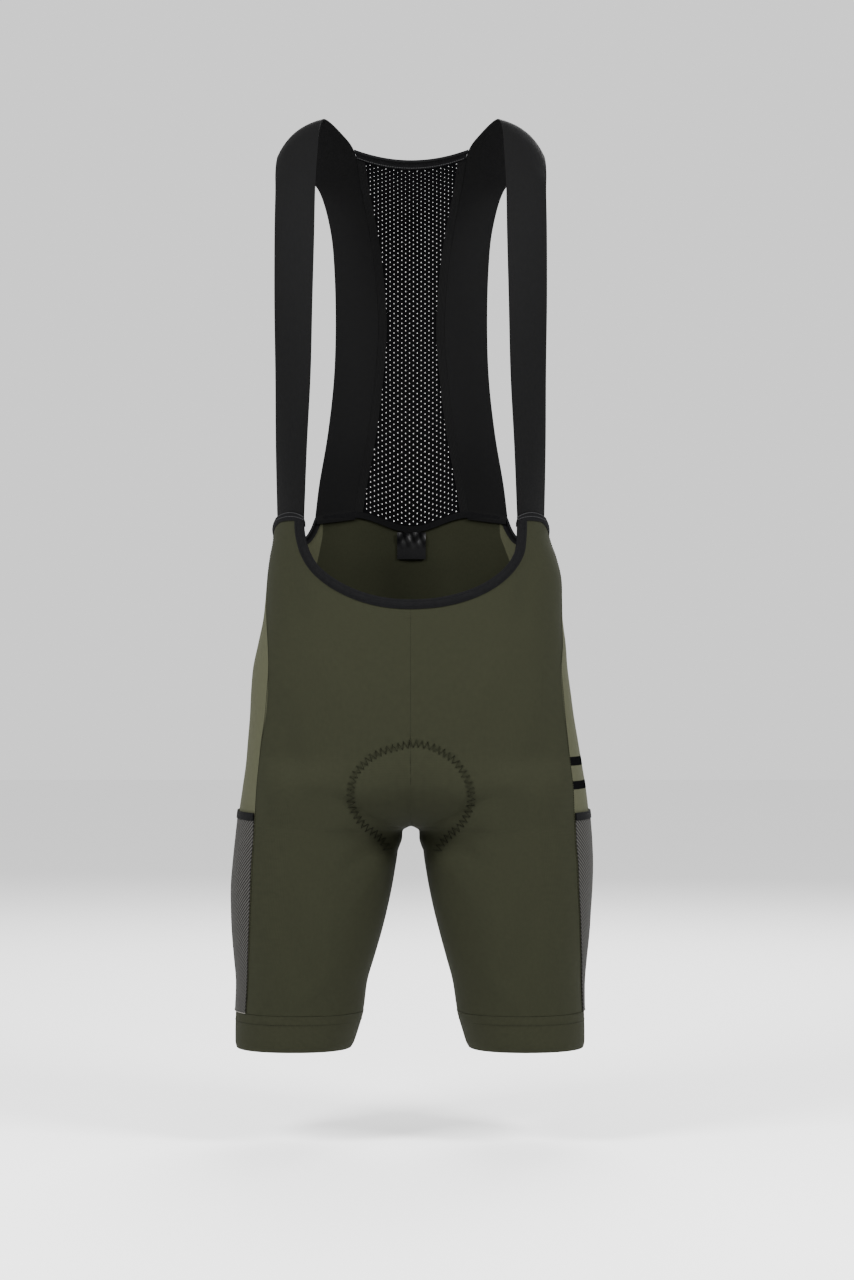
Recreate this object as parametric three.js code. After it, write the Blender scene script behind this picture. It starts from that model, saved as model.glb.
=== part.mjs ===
// Cycling bib shorts, filled out as worn, in millimetres.
// +Z is up, the front faces -Y and the wearer's left is +X.
// The origin lies midway between the undersides of the two strap crowns.
import * as THREE from "three";

// Cloth thicknesses and gaps.
const PANEL_WALL = 1.6;
const STRAP_WALL = 1.4;
const MESH_WALL = 1.2;
const HEM_WALL = 2.0;
const BINDING_WALL = 2.6;
const POCKET_WALL = 1.0;
const TAPE_WALL = 1.0;
const PAD_WALL = 6.0;
const SEAM_GAP = 0.3;
const EDGE_GAP = 0.35;
const ARMHOLE_END_GAP = 1.2;
const PAD_CLEARANCE = 1.45;
const TAPE_CLEARANCE = 0.8;

// Heights of the main lines.
const PEAK_TOP = -402;
const NECKLINE_LOW = -489;
const NECKLINE_HALF_WIDTH = 112.5;
const NECKLINE_ROUNDNESS = 2.15;
const PEAK_OUTER_X = 127;
const SIDE_SEAM_TOP = -412;
const YOKE_CORNER_X = 91;
const WAIST_SEAM_LOW = -404;
const WAIST_SEAM_RISE = 15;
const WAIST_SEAM_REACH = 60;
const WAIST_SEAM_CORNER_DROP = 5.5;
const YOKE_END_INNER_X = 58.4;
const PATTERN_TOP = -520;
const CROTCH = -703;
const FORK_TOP = -632;
const HEM_SEAM = -889;
const HEM_MIDDLE = -907;
const HEM_EDGE = -925;
const POCKET_TOP = -697;
const POCKET_BINDING_MIDDLE = -695;
const POCKET_BINDING_TOP = -689.5;
const POCKET_BINDING_EXTRA = 0.8;
const BINDING_WIDTH = 8;
const ARMHOLE_BINDING_WIDTH = 6.5;
const ARMHOLE_BINDING_END_WIDTH = 1;
const TAPE_WIDTH = 5.5;
const TAPE_HALF_LENGTH = 91;
const LABEL_HALF_WIDTH = 14.5;
const LABEL_TOP = -411;
const LABEL_LOW = -437;

// Roundness of the sections: 2 is an ellipse, more is squarer.
const LEG_ROUNDNESS = 2.3;
const WAIST_ROUNDNESS = 2.3;
const HIP_ROUNDNESS = 2.9;
const WAIST_LEVEL = -440;
const FORK_ROUNDNESS = 1.2;
const FORK_BLEND = 40;
const FORK_SAG_TURN = 0.25;

// Level sections of the body and legs. outer and inner are distances from the middle plane of the
// wearer's right and left side, front and back the half depths, seam the distance of the side
// panel's front and back seams inside the outline.
const SECTION_COLUMNS = [
  "z", "outerRight", "outerLeft", "innerRight", "innerLeft",
  "front", "back", "seamRight", "seamLeft", "seamBack",
];
const SECTIONS = [
  [-385, 136, 136, 0, 0, 102, 96, 0.3, 0.3, 45],
  [-412, 136.5, 136.5, 0, 0, 104, 98, 0.3, 0.3, 45.5],
  [-424, 137.5, 139.5, 0, 0, 105, 98.5, 0.4, 0.4, 44.5],
  [-436, 140, 144, 0, 0, 105.5, 99, 0.6, 0.5, 44.5],
  [-458, 143, 149.5, 0, 0, 107, 101, 1, 0.8, 42],
  [-482, 145, 150.5, 0, 0, 108, 103, 2.5, 1, 40],
  [-500, 147, 151, 0, 0, 109, 105, 5, 2, 38],
  [-524, 152, 154, 0, 0, 110, 108, 12, 4.5, 34],
  [-548, 157, 156, 0, 0, 111, 111, 18, 8, 32],
  [-572, 159, 159, 0, 0, 111.5, 114, 18.5, 9.5, 30],
  [-596, 160, 162, 0, 0, 111, 117.5, 17.5, 10.5, 28],
  [-620, 162, 166, 0, 0, 110, 120, 16, 12, 26],
  [-644, 164, 170, 0, 0, 108.5, 121, 15.5, 13.5, 24],
  [-668, 167.5, 174, 0, 0, 106, 120, 17, 15, 22],
  [-692, 171, 177, 0, 0, 102, 115.5, 19, 17, 21],
  [-703, 172, 178, 0, 0, 99.5, 112, 19.5, 17.5, 20],
  [-707, 172.5, 178.3, 9, 8.5, 98.5, 110.5, 20, 17.7, 20],
  [-716, 173.5, 179, 11.5, 11, 97, 107.5, 20.5, 18, 20],
  [-740, 176, 180, 15, 14, 94, 101, 21, 17, 19],
  [-764, 178, 179.5, 19, 18, 91, 95, 22, 15.5, 18],
  [-788, 178, 178, 24, 23, 88, 90.5, 21, 12.5, 17],
  [-812, 177, 176.5, 30, 29, 84.5, 86, 19, 10, 16],
  [-836, 175, 174, 37, 35.5, 80.5, 81, 16, 6.5, 14],
  [-860, 173, 172, 44, 42, 76, 76, 13, 4, 12],
  [-889, 174, 172, 48, 46.5, 70, 70, 12, 2.5, 11],
  [-907, 174.5, 172.5, 53, 51.5, 68.5, 68.5, 12, 2.5, 11],
  [-925, 174.5, 172.5, 59, 57, 67, 67, 12, 2.5, 11],
];

// One strap from the front peak over the shoulder and down the back to the waist seam.
// inner is the neck side edge, outer the arm side edge, bow the rise of the middle.
const STRAP_COLUMNS = ["innerX", "innerY", "innerZ", "outerX", "outerY", "outerZ", "bow"];
const STRAP_STATIONS = [
  [104.7, -73, -401.2, 131.6, -34.5, -400.4, 3],
  [101.4, -84, -330, 132.3, -55, -330, 3],
  [97.5, -91, -260, 132.3, -68, -260, 2.5],
  [95.8, -89, -190, 133.2, -71, -190, 2.5],
  [94.3, -74, -120, 133.5, -62, -120, 3],
  [93.9, -54, -70, 133.3, -48, -78, 4],
  [92.3, -34, -34, 134, -29, -58, 6],
  [91, -16, -10, 133.5, -13, -43, 7],
  [86, 2, 0.7, 131.5, 3, -35.5, 7],
  [71, 29, -9, 124, 31, -40, 6],
  [57.5, 54, -25, 111, 56, -47, 4],
  [52, 80, -56, 94, 79, -62, 2],
  [43.5, 101, -100, 83, 93, -100, 1.2],
  [37.5, 107, -143, 79, 99, -143, 1],
  [34, 105, -200, 77.8, 97, -200, 1],
  [38, 99, -255, 79.6, 90, -255, 1],
  [45, 94, -310, 85.6, 84, -310, 1],
  [54, 92.5, -360, 93.8, 78, -360, 1],
  [58.4, 90, -388.5, 97.8, 73, -394.0, 1.5],
];
const MESH_TOP_STATION = 10.22;
const YOKE_END_STATION = 18;
const STATION_STEP = 0.05;
const MESH_BULGE = 5;
const NECK_BULGE = 14;
const NECK_DIP = 9;
const NECK_BLEND_STATIONS = 3;
const SINK_STATIONS = 4;

// Rows of the back top binding, in stations above the top of the mesh.
const NECK_BINDING_ROWS = [0.3, 0.16, 0.02];

// Height of the armhole's edge along its share from the front peak to the yoke's corner.
const ARMHOLE_COLUMNS = ["share", "z"];
const ARMHOLE_EDGE = [
  [0, PEAK_TOP],
  [0.12, -406.5],
  [0.28, -413],
  [0.5, -419.5],
  [0.7, -423.5],
  [0.88, -422],
  [0.95, -411],
  [1, -395.5],
];

// Half widths of the chamois pad along its length, measured on the cloth.
const PAD_COLUMNS = ["z", "front", "back"];
const PAD_WIDTHS = [
  [-594, 8, 58],
  [-616, 12, 74],
  [-632, 38, 78],
  [-652, 56, 81],
  [-669, 63, 82],
  [-681, 65, 80],
  [-703, 60, 70],
  [-714, 40, 48],
  [-726, 24, 30],
  [-740, 6, 8],
];
const PAD_FRONT_TOP = -616;
const PAD_BACK_TOP = -594;
const PAD_LOW = -726;

// Cloth colours.
const OLIVE = 0x3b3b2b;
const SIDE_OLIVE = 0x56553f;
const BLACK = 0x151517;
const STRAP_BLACK = 0x222224;
const NET_GREY = 0x5a5856;
const PAD_GREY = 0x3a3d42;

function mix(a, b, t) {
  return a + (b - a) * t;
}

function smooth(t) {
  const c = Math.min(1, Math.max(0, t));
  return c * c * (3 - 2 * c);
}

// Smooth value of every column of a table at a key, through the rows on either side.
function readRow(columns, rows, key, keyOf) {
  const rising = keyOf(1) > keyOf(0);
  let i = 0;
  while (i < rows.length - 2 && (rising ? key > keyOf(i + 1) : key < keyOf(i + 1))) {
    i += 1;
  }
  const span = keyOf(i + 1) - keyOf(i);
  const t = Math.min(1, Math.max(0, (key - keyOf(i)) / span));
  const before = Math.max(0, i - 1);
  const after = Math.min(rows.length - 1, i + 2);
  const row = {};
  columns.forEach((name, c) => {
    const a = rows[i][c];
    const b = rows[i + 1][c];
    const slopeA = ((b - rows[before][c]) / (keyOf(i + 1) - keyOf(before))) * span;
    const slopeB = ((rows[after][c] - a) / (keyOf(after) - keyOf(i))) * span;
    const t2 = t * t;
    const t3 = t2 * t;
    row[name] =
      (2 * t3 - 3 * t2 + 1) * a + (t3 - 2 * t2 + t) * slopeA +
      (3 * t2 - 2 * t3) * b + (t3 - t2) * slopeB;
  });
  return row;
}

function sectionAt(z) {
  return readRow(SECTION_COLUMNS, SECTIONS, z, (i) => SECTIONS[i][0]);
}

function strapAt(station) {
  return readRow(STRAP_COLUMNS, STRAP_STATIONS, station, (i) => i);
}

function padAt(z) {
  return readRow(PAD_COLUMNS, PAD_WIDTHS, z, (i) => PAD_WIDTHS[i][0]);
}

function rounded(value, roundness) {
  return Math.sign(value) * Math.pow(Math.abs(value), 2 / roundness);
}

// How far a level lies through the fork, where the legs merge: 0 at the crotch, 1 above it.
function forkRise(level) {
  return Math.min(1, Math.max(0, (level - CROTCH) / (FORK_TOP - CROTCH)));
}

// Share of the body's half ring in a row of the fork.
function forkBlend(level) {
  return (1 - Math.cos(Math.PI * forkRise(level))) / 2;
}

// Plan of a row before its depth is set: a leg ring blended into the half ring of the body.
function rowPlan(side, level, turn) {
  const s = sectionAt(level);
  const outer = side > 0 ? s.outerLeft : s.outerRight;
  const inner = level > CROTCH ? 0 : Math.max(0, side > 0 ? s.innerLeft : s.innerRight);
  const half = (outer - inner) / 2;
  const angle = 2 * Math.PI * turn;
  const legDepth = rounded(Math.sin(angle), LEG_ROUNDNESS);
  const nearFork = smooth(1 - Math.abs(level - CROTCH) / FORK_BLEND);
  const innerRoundness = mix(LEG_ROUNDNESS, FORK_ROUNDNESS, nearFork);
  const innerReach = Math.pow(
    Math.max(0, 1 - Math.pow(Math.abs(legDepth), innerRoundness)), 1 / LEG_ROUNDNESS,
  );
  const legWidth = Math.cos(angle) > 0
    ? innerReach
    : rounded(Math.cos(angle), LEG_ROUNDNESS);
  const legX = inner + half - half * legWidth;
  const sweep = Math.PI * turn;
  const hipShare = smooth((WAIST_LEVEL - level) / (WAIST_LEVEL - FORK_TOP));
  const torsoRoundness = mix(WAIST_ROUNDNESS, HIP_ROUNDNESS, hipShare);
  const torsoX = outer * rounded(Math.sin(sweep), torsoRoundness);
  const torsoDepth = rounded(Math.cos(sweep), torsoRoundness);
  const blend = forkBlend(level);
  return { x: mix(legX, torsoX, blend), depth: mix(legDepth, torsoDepth, blend), section: s };
}

const PLAN_SAMPLES = 40;
const fullDepths = new Map();

// Largest depth that the blended plan reaches, by which each row is brought to its full depth.
function fullDepth(side, level) {
  const key = side + ":" + level;
  if (!fullDepths.has(key)) {
    let most = 0;
    for (let i = 0; i <= PLAN_SAMPLES; i += 1) {
      most = Math.max(most, rowPlan(side, level, i / (2 * PLAN_SAMPLES)).depth);
    }
    fullDepths.set(key, most);
  }
  return fullDepths.get(key);
}

// A point of the shorts' middle surface. turn runs from 0 at the front middle or the inseam, round
// the outer side, to 1 at the back middle or the inseam. side is +1 for the wearer's left.
function bodyPoint(side, level, turn) {
  const { x, depth, section } = rowPlan(side, level, turn);
  const y = (-depth / fullDepth(side, level)) * (depth > 0 ? section.front : section.back);
  const rise = forkRise(level);
  const forkZ = CROTCH + (FORK_TOP - CROTCH) * (1 - Math.sqrt(1 - forkBlend(level) ** 2));
  const fromEnd = Math.min(turn, 1 - turn) / FORK_SAG_TURN;
  const sag = fromEnd < 1 ? (1 + Math.cos(Math.PI * fromEnd)) / 2 : 0;
  const z = rise > 0 && rise < 1 ? mix(level, forkZ, sag) : level;
  return new THREE.Vector3(side * x, y, z);
}

const ROW_SAMPLES = 120;

// The whole row at one level with its running length.
function bodyRow(side, level) {
  const points = [];
  const along = [0];
  for (let i = 0; i <= ROW_SAMPLES; i += 1) {
    points.push(bodyPoint(side, level, i / ROW_SAMPLES));
    if (i > 0) {
      along.push(along[i - 1] + points[i].distanceTo(points[i - 1]));
    }
  }
  return { points, along, length: along[ROW_SAMPLES] };
}

function pointAlong(row, distance) {
  const d = Math.min(row.length, Math.max(0, distance));
  let i = 1;
  while (i < ROW_SAMPLES && row.along[i] < d) {
    i += 1;
  }
  const t = (d - row.along[i - 1]) / (row.along[i] - row.along[i - 1] || 1);
  return row.points[i - 1].clone().lerp(row.points[i], t);
}

// Distance along a row at which it first passes (or, from the back, last has) a distance from the
// middle plane.
function reachOf(row, x, fromBack) {
  const last = ROW_SAMPLES;
  for (let i = 1; i <= last; i += 1) {
    const a = fromBack ? last - i + 1 : i - 1;
    const b = fromBack ? last - i : i;
    const xa = Math.abs(row.points[a].x);
    const xb = Math.abs(row.points[b].x);
    if (xa < x && xb >= x) {
      return mix(row.along[a], row.along[b], (x - xa) / (xb - xa));
    }
  }
  return row.length / 2;
}

function frontSeamAt(side, level, row) {
  const s = sectionAt(level);
  return side > 0
    ? reachOf(row, s.outerLeft - s.seamLeft, false)
    : reachOf(row, s.outerRight - s.seamRight, false);
}

function backSeamAt(side, level, row) {
  const s = sectionAt(level);
  const outer = side > 0 ? s.outerLeft : s.outerRight;
  return reachOf(row, outer - s.seamBack, true);
}

// Where the columns of each panel stand at the top edge, as distances from the middle.
const FRONT_TOP_X = [
  0, 19, 38, 55, 71, 84, 94, 101.5, 107, 110.7, NECKLINE_HALF_WIDTH, 117.5, 122.5, PEAK_OUTER_X,
];
const BACK_TOP_X = [84, 71, 58.4, 46, 34, 22, 11, 0];
const SCOOP_COLUMNS = FRONT_TOP_X.indexOf(NECKLINE_HALF_WIDTH) + 1;
const SIDE_PARTS = 6;
const FRONT_LAST = FRONT_TOP_X.length;
const BACK_FIRST = FRONT_LAST + SIDE_PARTS;
const COLUMN_COUNT = BACK_FIRST + BACK_TOP_X.length + 1;

function columnShares(side) {
  const topRow = bodyRow(side, PEAK_TOP);
  const frontLength = frontSeamAt(side, PEAK_TOP, topRow);
  const backStart = reachOf(topRow, YOKE_CORNER_X, true);
  const front = FRONT_TOP_X.map((x) => reachOfFront(topRow, x) / frontLength);
  const back = BACK_TOP_X.map(
    (x) => (x > 0 ? reachOf(topRow, x, true) - backStart : topRow.length - backStart) /
      (topRow.length - backStart),
  );
  return { front, back };
}

function reachOfFront(row, x) {
  return x > 0 ? reachOf(row, x, false) : 0;
}

// Distance along a row of one column.
function columnReach(side, level, column, shares, row) {
  const frontSeam = frontSeamAt(side, level, row);
  const backSeam = backSeamAt(side, level, row);
  if (column < FRONT_LAST) {
    return shares.front[column] * frontSeam;
  }
  if (column <= BACK_FIRST) {
    return mix(frontSeam, backSeam, (column - FRONT_LAST) / SIDE_PARTS);
  }
  return mix(backSeam, row.length, shares.back[column - BACK_FIRST - 1]);
}

// Height of the front scoop's lower edge at a distance from the middle.
function necklineZ(x) {
  const t = Math.min(1, x / NECKLINE_HALF_WIDTH);
  const share = Math.pow(1 - Math.pow(t, NECKLINE_ROUNDNESS), 1 / NECKLINE_ROUNDNESS);
  return PEAK_TOP + (NECKLINE_LOW - PEAK_TOP) * share;
}

// Height of the seam between the back panels and the yoke.
function waistSeamZ(x) {
  const t = Math.min(1, x / WAIST_SEAM_REACH);
  const corner = Math.max(0, (x - YOKE_END_INNER_X) / (YOKE_CORNER_X - YOKE_END_INNER_X));
  const rise = (WAIST_SEAM_RISE * (1 - Math.cos(Math.PI * t))) / 2;
  return WAIST_SEAM_LOW + rise - WAIST_SEAM_CORNER_DROP * corner;
}

// Height of the armhole edge at a share of its way from the peak's outer corner to the yoke's.
function armholeZ(share) {
  return readRow(ARMHOLE_COLUMNS, ARMHOLE_EDGE, share, (i) => ARMHOLE_EDGE[i][0]).z;
}

function columnTop(side, column, shares) {
  if (column < FRONT_LAST) {
    return necklineZ(FRONT_TOP_X[column]);
  }
  if (column > BACK_FIRST) {
    return waistSeamZ(BACK_TOP_X[column - BACK_FIRST - 1]);
  }
  const row = bodyRow(side, SIDE_SEAM_TOP);
  const start = reachOf(row, PEAK_OUTER_X, false);
  const end = reachOf(row, YOKE_CORNER_X, true);
  const here = columnReach(side, SIDE_SEAM_TOP, column, shares, row);
  return armholeZ(Math.min(1, (here - start) / (end - start)));
}

const FIXED_LEVELS = [
  HEM_EDGE, HEM_MIDDLE, HEM_SEAM, -870, -850, -828, -806, -784, -762, -742, -726, -714, -707, CROTCH,
  -697, -690, -681, -669, -652, FORK_TOP, -616, -594, -568, -543, PATTERN_TOP,
];
const TOP_ROWS = 5;
const HEM_ROW = FIXED_LEVELS.indexOf(HEM_SEAM);
const LAST_ROW = FIXED_LEVELS.length - 1 + TOP_ROWS;

// All knots of one half of the shorts, [row][column] of { p, level }.
function bodyGrid(side) {
  const shares = columnShares(side);
  const rows = FIXED_LEVELS.map((level) => ({ level, row: bodyRow(side, level) }));
  const grid = rows.map(({ level, row }) => {
    const knots = [];
    for (let c = 0; c < COLUMN_COUNT; c += 1) {
      knots.push({ p: pointAlong(row, columnReach(side, level, c, shares, row)), level });
    }
    return knots;
  });
  for (let k = 1; k <= TOP_ROWS; k += 1) {
    const knots = [];
    for (let c = 0; c < COLUMN_COUNT; c += 1) {
      const level = mix(PATTERN_TOP, columnTop(side, c, shares), k / TOP_ROWS);
      const row = bodyRow(side, level);
      knots.push({ p: pointAlong(row, columnReach(side, level, c, shares, row)), level });
    }
    grid.push(knots);
  }
  return grid;
}

// Knots closer than one part of KNOTS_PER_MM count as one.
const KNOTS_PER_MM = 200;

function knotKey(p) {
  return [p.x, p.y, p.z].map((v) => Math.round(v * KNOTS_PER_MM)).join(",");
}

// Adds outward normals, shared by all knots that stand on one point, to patches of knots. A patch
// is { knots: [row][column], flip }.
function addNormals(patches) {
  const sums = new Map();
  const edgeA = new THREE.Vector3();
  const edgeB = new THREE.Vector3();
  patches.forEach(({ knots, flip }) => {
    for (let r = 0; r < knots.length - 1; r += 1) {
      for (let c = 0; c < knots[r].length - 1; c += 1) {
        const corners = [knots[r][c], knots[r][c + 1], knots[r + 1][c + 1], knots[r + 1][c]];
        edgeA.subVectors(corners[2].p, corners[0].p);
        edgeB.subVectors(corners[3].p, corners[1].p);
        const normal = new THREE.Vector3().crossVectors(edgeA, edgeB);
        normal.multiplyScalar(flip ? -1 : 1);
        corners.forEach(({ p }) => {
          const key = knotKey(p);
          if (!sums.has(key)) {
            sums.set(key, new THREE.Vector3());
          }
          sums.get(key).add(normal);
        });
      }
    }
  });
  patches.forEach(({ knots }) => {
    knots.flat().forEach((knot) => {
      knot.n = sums.get(knotKey(knot.p)).clone().normalize();
    });
  });
  return patches;
}

// One closed wall over patches of knots. over and under are the heights of its two faces above the
// middle surface.
function wall(name, patches, over, under, colour, roughness) {
  const index = new Map();
  const knots = [];
  const triangles = [];
  const numberOf = (knot) => {
    const key = knotKey(knot.p);
    if (!index.has(key)) {
      index.set(key, knots.length);
      knots.push(knot);
    }
    return index.get(key);
  };
  patches.forEach(({ knots: grid, flip }) => {
    for (let r = 0; r < grid.length - 1; r += 1) {
      for (let c = 0; c < grid[r].length - 1; c += 1) {
        const q = [grid[r][c], grid[r][c + 1], grid[r + 1][c + 1], grid[r + 1][c]].map(numberOf);
        [[q[0], q[1], q[2]], [q[0], q[2], q[3]]].forEach((t) => {
          if (t[0] !== t[1] && t[1] !== t[2] && t[2] !== t[0]) {
            triangles.push(flip ? [t[0], t[2], t[1]] : t);
          }
        });
      }
    }
  });
  const count = knots.length;
  const positions = [];
  [over, under].forEach((height) => {
    knots.forEach(({ p, n }) => {
      positions.push(p.x + n.x * height, p.y + n.y * height, p.z + n.z * height);
    });
  });
  const faces = [];
  const edges = new Set();
  triangles.forEach(([a, b, c]) => {
    faces.push(a, b, c, a + count, c + count, b + count);
    edges.add(a + ">" + b).add(b + ">" + c).add(c + ">" + a);
  });
  edges.forEach((edge) => {
    const [a, b] = edge.split(">").map(Number);
    if (!edges.has(b + ">" + a)) {
      faces.push(b, a, a + count, b, a + count, b + count);
    }
  });
  const geometry = new THREE.BufferGeometry();
  geometry.setAttribute("position", new THREE.Float32BufferAttribute(positions, 3));
  geometry.setIndex(faces);
  geometry.computeVertexNormals();
  const material = new THREE.MeshStandardMaterial({ color: colour, roughness, metalness: 0 });
  const mesh = new THREE.Mesh(geometry, material);
  mesh.name = name;
  return mesh;
}

// The knots of a block of rows and columns, with the named borders drawn back by half a seam gap.
function block(grid, rows, columns, borders) {
  const part = [];
  for (let r = rows[0]; r <= rows[1]; r += 1) {
    part.push(grid[r].slice(columns[0], columns[1] + 1).map(({ p, n }) => ({ p: p.clone(), n })));
  }
  const source = part.map((row) => row.map(({ p }) => p.clone()));
  const lastRow = part.length - 1;
  const lastColumn = part[0].length - 1;
  const draw = (r, c, r2, c2) => {
    const step = source[r2][c2].clone().sub(source[r][c]).setLength(SEAM_GAP / 2);
    part[r][c].p.add(step);
  };
  for (let c = 0; c <= lastColumn; c += 1) {
    if (borders.includes("low")) draw(0, c, 1, c);
    if (borders.includes("high")) draw(lastRow, c, lastRow - 1, c);
  }
  for (let r = 0; r <= lastRow; r += 1) {
    if (borders.includes("start")) draw(r, 0, r, 1);
    if (borders.includes("end")) draw(r, lastColumn, r, lastColumn - 1);
  }
  return part;
}

const SIDES = [
  { side: 1, word: "left" },
  { side: -1, word: "right" },
];

const bodies = SIDES.map(({ side, word }) => ({
  side, word, flip: side < 0, grid: bodyGrid(side), shares: columnShares(side),
}));
addNormals(bodies.map(({ grid, flip }) => ({ knots: grid, flip })));

// A knot between two columns of a grid row, at a distance from its start or end.
function knotAlong(row, distance, fromEnd) {
  const knots = fromEnd ? [...row].reverse() : row;
  let left = distance;
  let i = 0;
  while (i < knots.length - 2 && left > knots[i].p.distanceTo(knots[i + 1].p)) {
    left -= knots[i].p.distanceTo(knots[i + 1].p);
    i += 1;
  }
  const t = left / knots[i].p.distanceTo(knots[i + 1].p);
  return {
    p: knots[i].p.clone().lerp(knots[i + 1].p, t),
    n: knots[i].n.clone().lerp(knots[i + 1].n, t).normalize(),
  };
}

// The six main panels.
function panels({ word, flip, grid }) {
  const half = PANEL_WALL / 2;
  const make = (name, columns) => wall(
    name + "_panel_" + word,
    [{ knots: block(grid, [HEM_ROW, LAST_ROW], columns, ["low", "high", "start", "end"]), flip }],
    half, -half, name === "side" ? SIDE_OLIVE : OLIVE, 0.75,
  );
  return [
    make("front", [0, FRONT_LAST]),
    make("side", [FRONT_LAST, BACK_FIRST]),
    make("back", [BACK_FIRST, COLUMN_COUNT - 1]),
  ];
}

function hemBand({ word, flip, grid }) {
  const knots = block(grid, [0, HEM_ROW], [0, COLUMN_COUNT - 1], ["high"]);
  knots.forEach((row) => {
    row[row.length - 1] = row[0];
  });
  return wall(
    "hem_band_" + word, [{ knots, flip }], HEM_WALL / 2, -HEM_WALL / 2, OLIVE, 0.7,
  );
}

// Knots of the side panel moved to one height, for what is sewn on it.
function sideRow(grid, z) {
  let r = HEM_ROW;
  while (r < LAST_ROW - 1 && grid[r + 1][FRONT_LAST].p.z < z) {
    r += 1;
  }
  const knots = [];
  for (let c = FRONT_LAST; c <= BACK_FIRST; c += 1) {
    const low = grid[r][c];
    const high = grid[r + 1][c];
    const t = (z - low.p.z) / (high.p.z - low.p.z);
    knots.push({
      p: low.p.clone().lerp(high.p, t),
      n: low.n.clone().lerp(high.n, t).normalize(),
    });
  }
  return knots;
}

function pocketParts({ word, flip, grid }) {
  const over = PANEL_WALL / 2 + SEAM_GAP;
  const between = FIXED_LEVELS.filter((z) => z > HEM_SEAM && z < POCKET_TOP);
  const netRows = [HEM_SEAM, ...between, POCKET_TOP].map((z) => sideRow(grid, z));
  const bindingRows = [POCKET_TOP, POCKET_BINDING_MIDDLE, POCKET_BINDING_TOP]
    .map((z) => sideRow(grid, z));
  const borders = ["low", "high", "start", "end"];
  const columns = [0, SIDE_PARTS];
  return [
    wall(
      "pocket_" + word,
      [{ knots: block(netRows, [0, netRows.length - 1], columns, borders), flip }],
      over + POCKET_WALL, over, NET_GREY, 0.85,
    ),
    wall(
      "pocket_binding_" + word,
      [{ knots: block(bindingRows, [0, 2], columns, borders), flip }],
      over + POCKET_WALL + POCKET_BINDING_EXTRA, over, BLACK, 0.8,
    ),
  ];
}

const STRAP_PARTS = 4;
const STRAP_STEPS_PER_STATION = 2;

// A point on a strap, across from 0 at the neck side to 1 at the arm side.
function strapPoint(side, station, across) {
  const s = strapAt(station);
  const ahead = strapAt(Math.min(YOKE_END_STATION, station + STATION_STEP));
  const behind = strapAt(Math.max(0, station - STATION_STEP));
  const inner = new THREE.Vector3(s.innerX, s.innerY, s.innerZ);
  const outer = new THREE.Vector3(s.outerX, s.outerY, s.outerZ);
  const middleOf = (r) => new THREE.Vector3(
    (r.innerX + r.outerX) / 2, (r.innerY + r.outerY) / 2, (r.innerZ + r.outerZ) / 2,
  );
  const along = middleOf(ahead).sub(middleOf(behind));
  const out = outer.clone().sub(inner).cross(along).normalize();
  const point = inner.lerp(outer, across);
  point.addScaledVector(out, s.bow * 4 * across * (1 - across));
  point.x *= side;
  return point;
}

function strap({ side, word, flip }) {
  const knots = [];
  const steps = YOKE_END_STATION * STRAP_STEPS_PER_STATION;
  for (let i = 0; i <= steps; i += 1) {
    const row = [];
    for (let c = 0; c <= STRAP_PARTS; c += 1) {
      row.push({ p: strapPoint(side, i / STRAP_STEPS_PER_STATION, c / STRAP_PARTS) });
    }
    knots.push(row);
  }
  const patches = addNormals([{ knots, flip }]);
  return wall("strap_" + word, patches, STRAP_WALL / 2, -STRAP_WALL / 2, STRAP_BLACK, 0.6);
}

const MESH_COLUMNS = 10;
const MESH_ROWS = 18;

// A row across the back between the straps, at one station of the strap.
function backRow(station, gap) {
  const edge = strapPoint(1, station, 0);
  const upper = smooth((MESH_TOP_STATION - station) / NECK_BLEND_STATIONS + 1);
  const row = [];
  for (let c = 0; c <= MESH_COLUMNS; c += 1) {
    const s = (2 * c) / MESH_COLUMNS - 1;
    const x = s * (edge.x - gap);
    const bulge = mix(MESH_BULGE, NECK_BULGE, upper) * (1 - s * s);
    const dip = NECK_DIP * upper * (1 - s * s);
    const sinkShare = smooth((station - YOKE_END_STATION) / SINK_STATIONS + 1);
    const sink = (waistSeamZ(edge.x) - waistSeamZ(Math.abs(x))) * sinkShare;
    row.push({ p: new THREE.Vector3(x, edge.y + bulge, edge.z - dip - sink) });
  }
  return row;
}

function backMesh() {
  const knots = [];
  for (let i = 0; i <= MESH_ROWS; i += 1) {
    knots.push(backRow(mix(MESH_TOP_STATION, YOKE_END_STATION, i / MESH_ROWS), SEAM_GAP));
  }
  const patches = addNormals([{ knots, flip: false }]);
  return wall("back_mesh", patches, MESH_WALL / 2, -MESH_WALL / 2, BLACK, 0.8);
}

function backTopBinding() {
  const knots = NECK_BINDING_ROWS.map((up) => backRow(MESH_TOP_STATION - up, SEAM_GAP));
  const patches = addNormals([{ knots, flip: false }]);
  return wall("back_top_binding", patches, BINDING_WALL / 2, -BINDING_WALL / 2, BLACK, 0.8);
}

// A front point at a distance from the middle and a height.
function frontPoint(x, z) {
  const side = x < 0 ? -1 : 1;
  const row = bodyRow(side, z);
  const point = pointAlong(row, reachOfFront(row, Math.abs(x)));
  point.x = x;
  return point;
}

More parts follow.
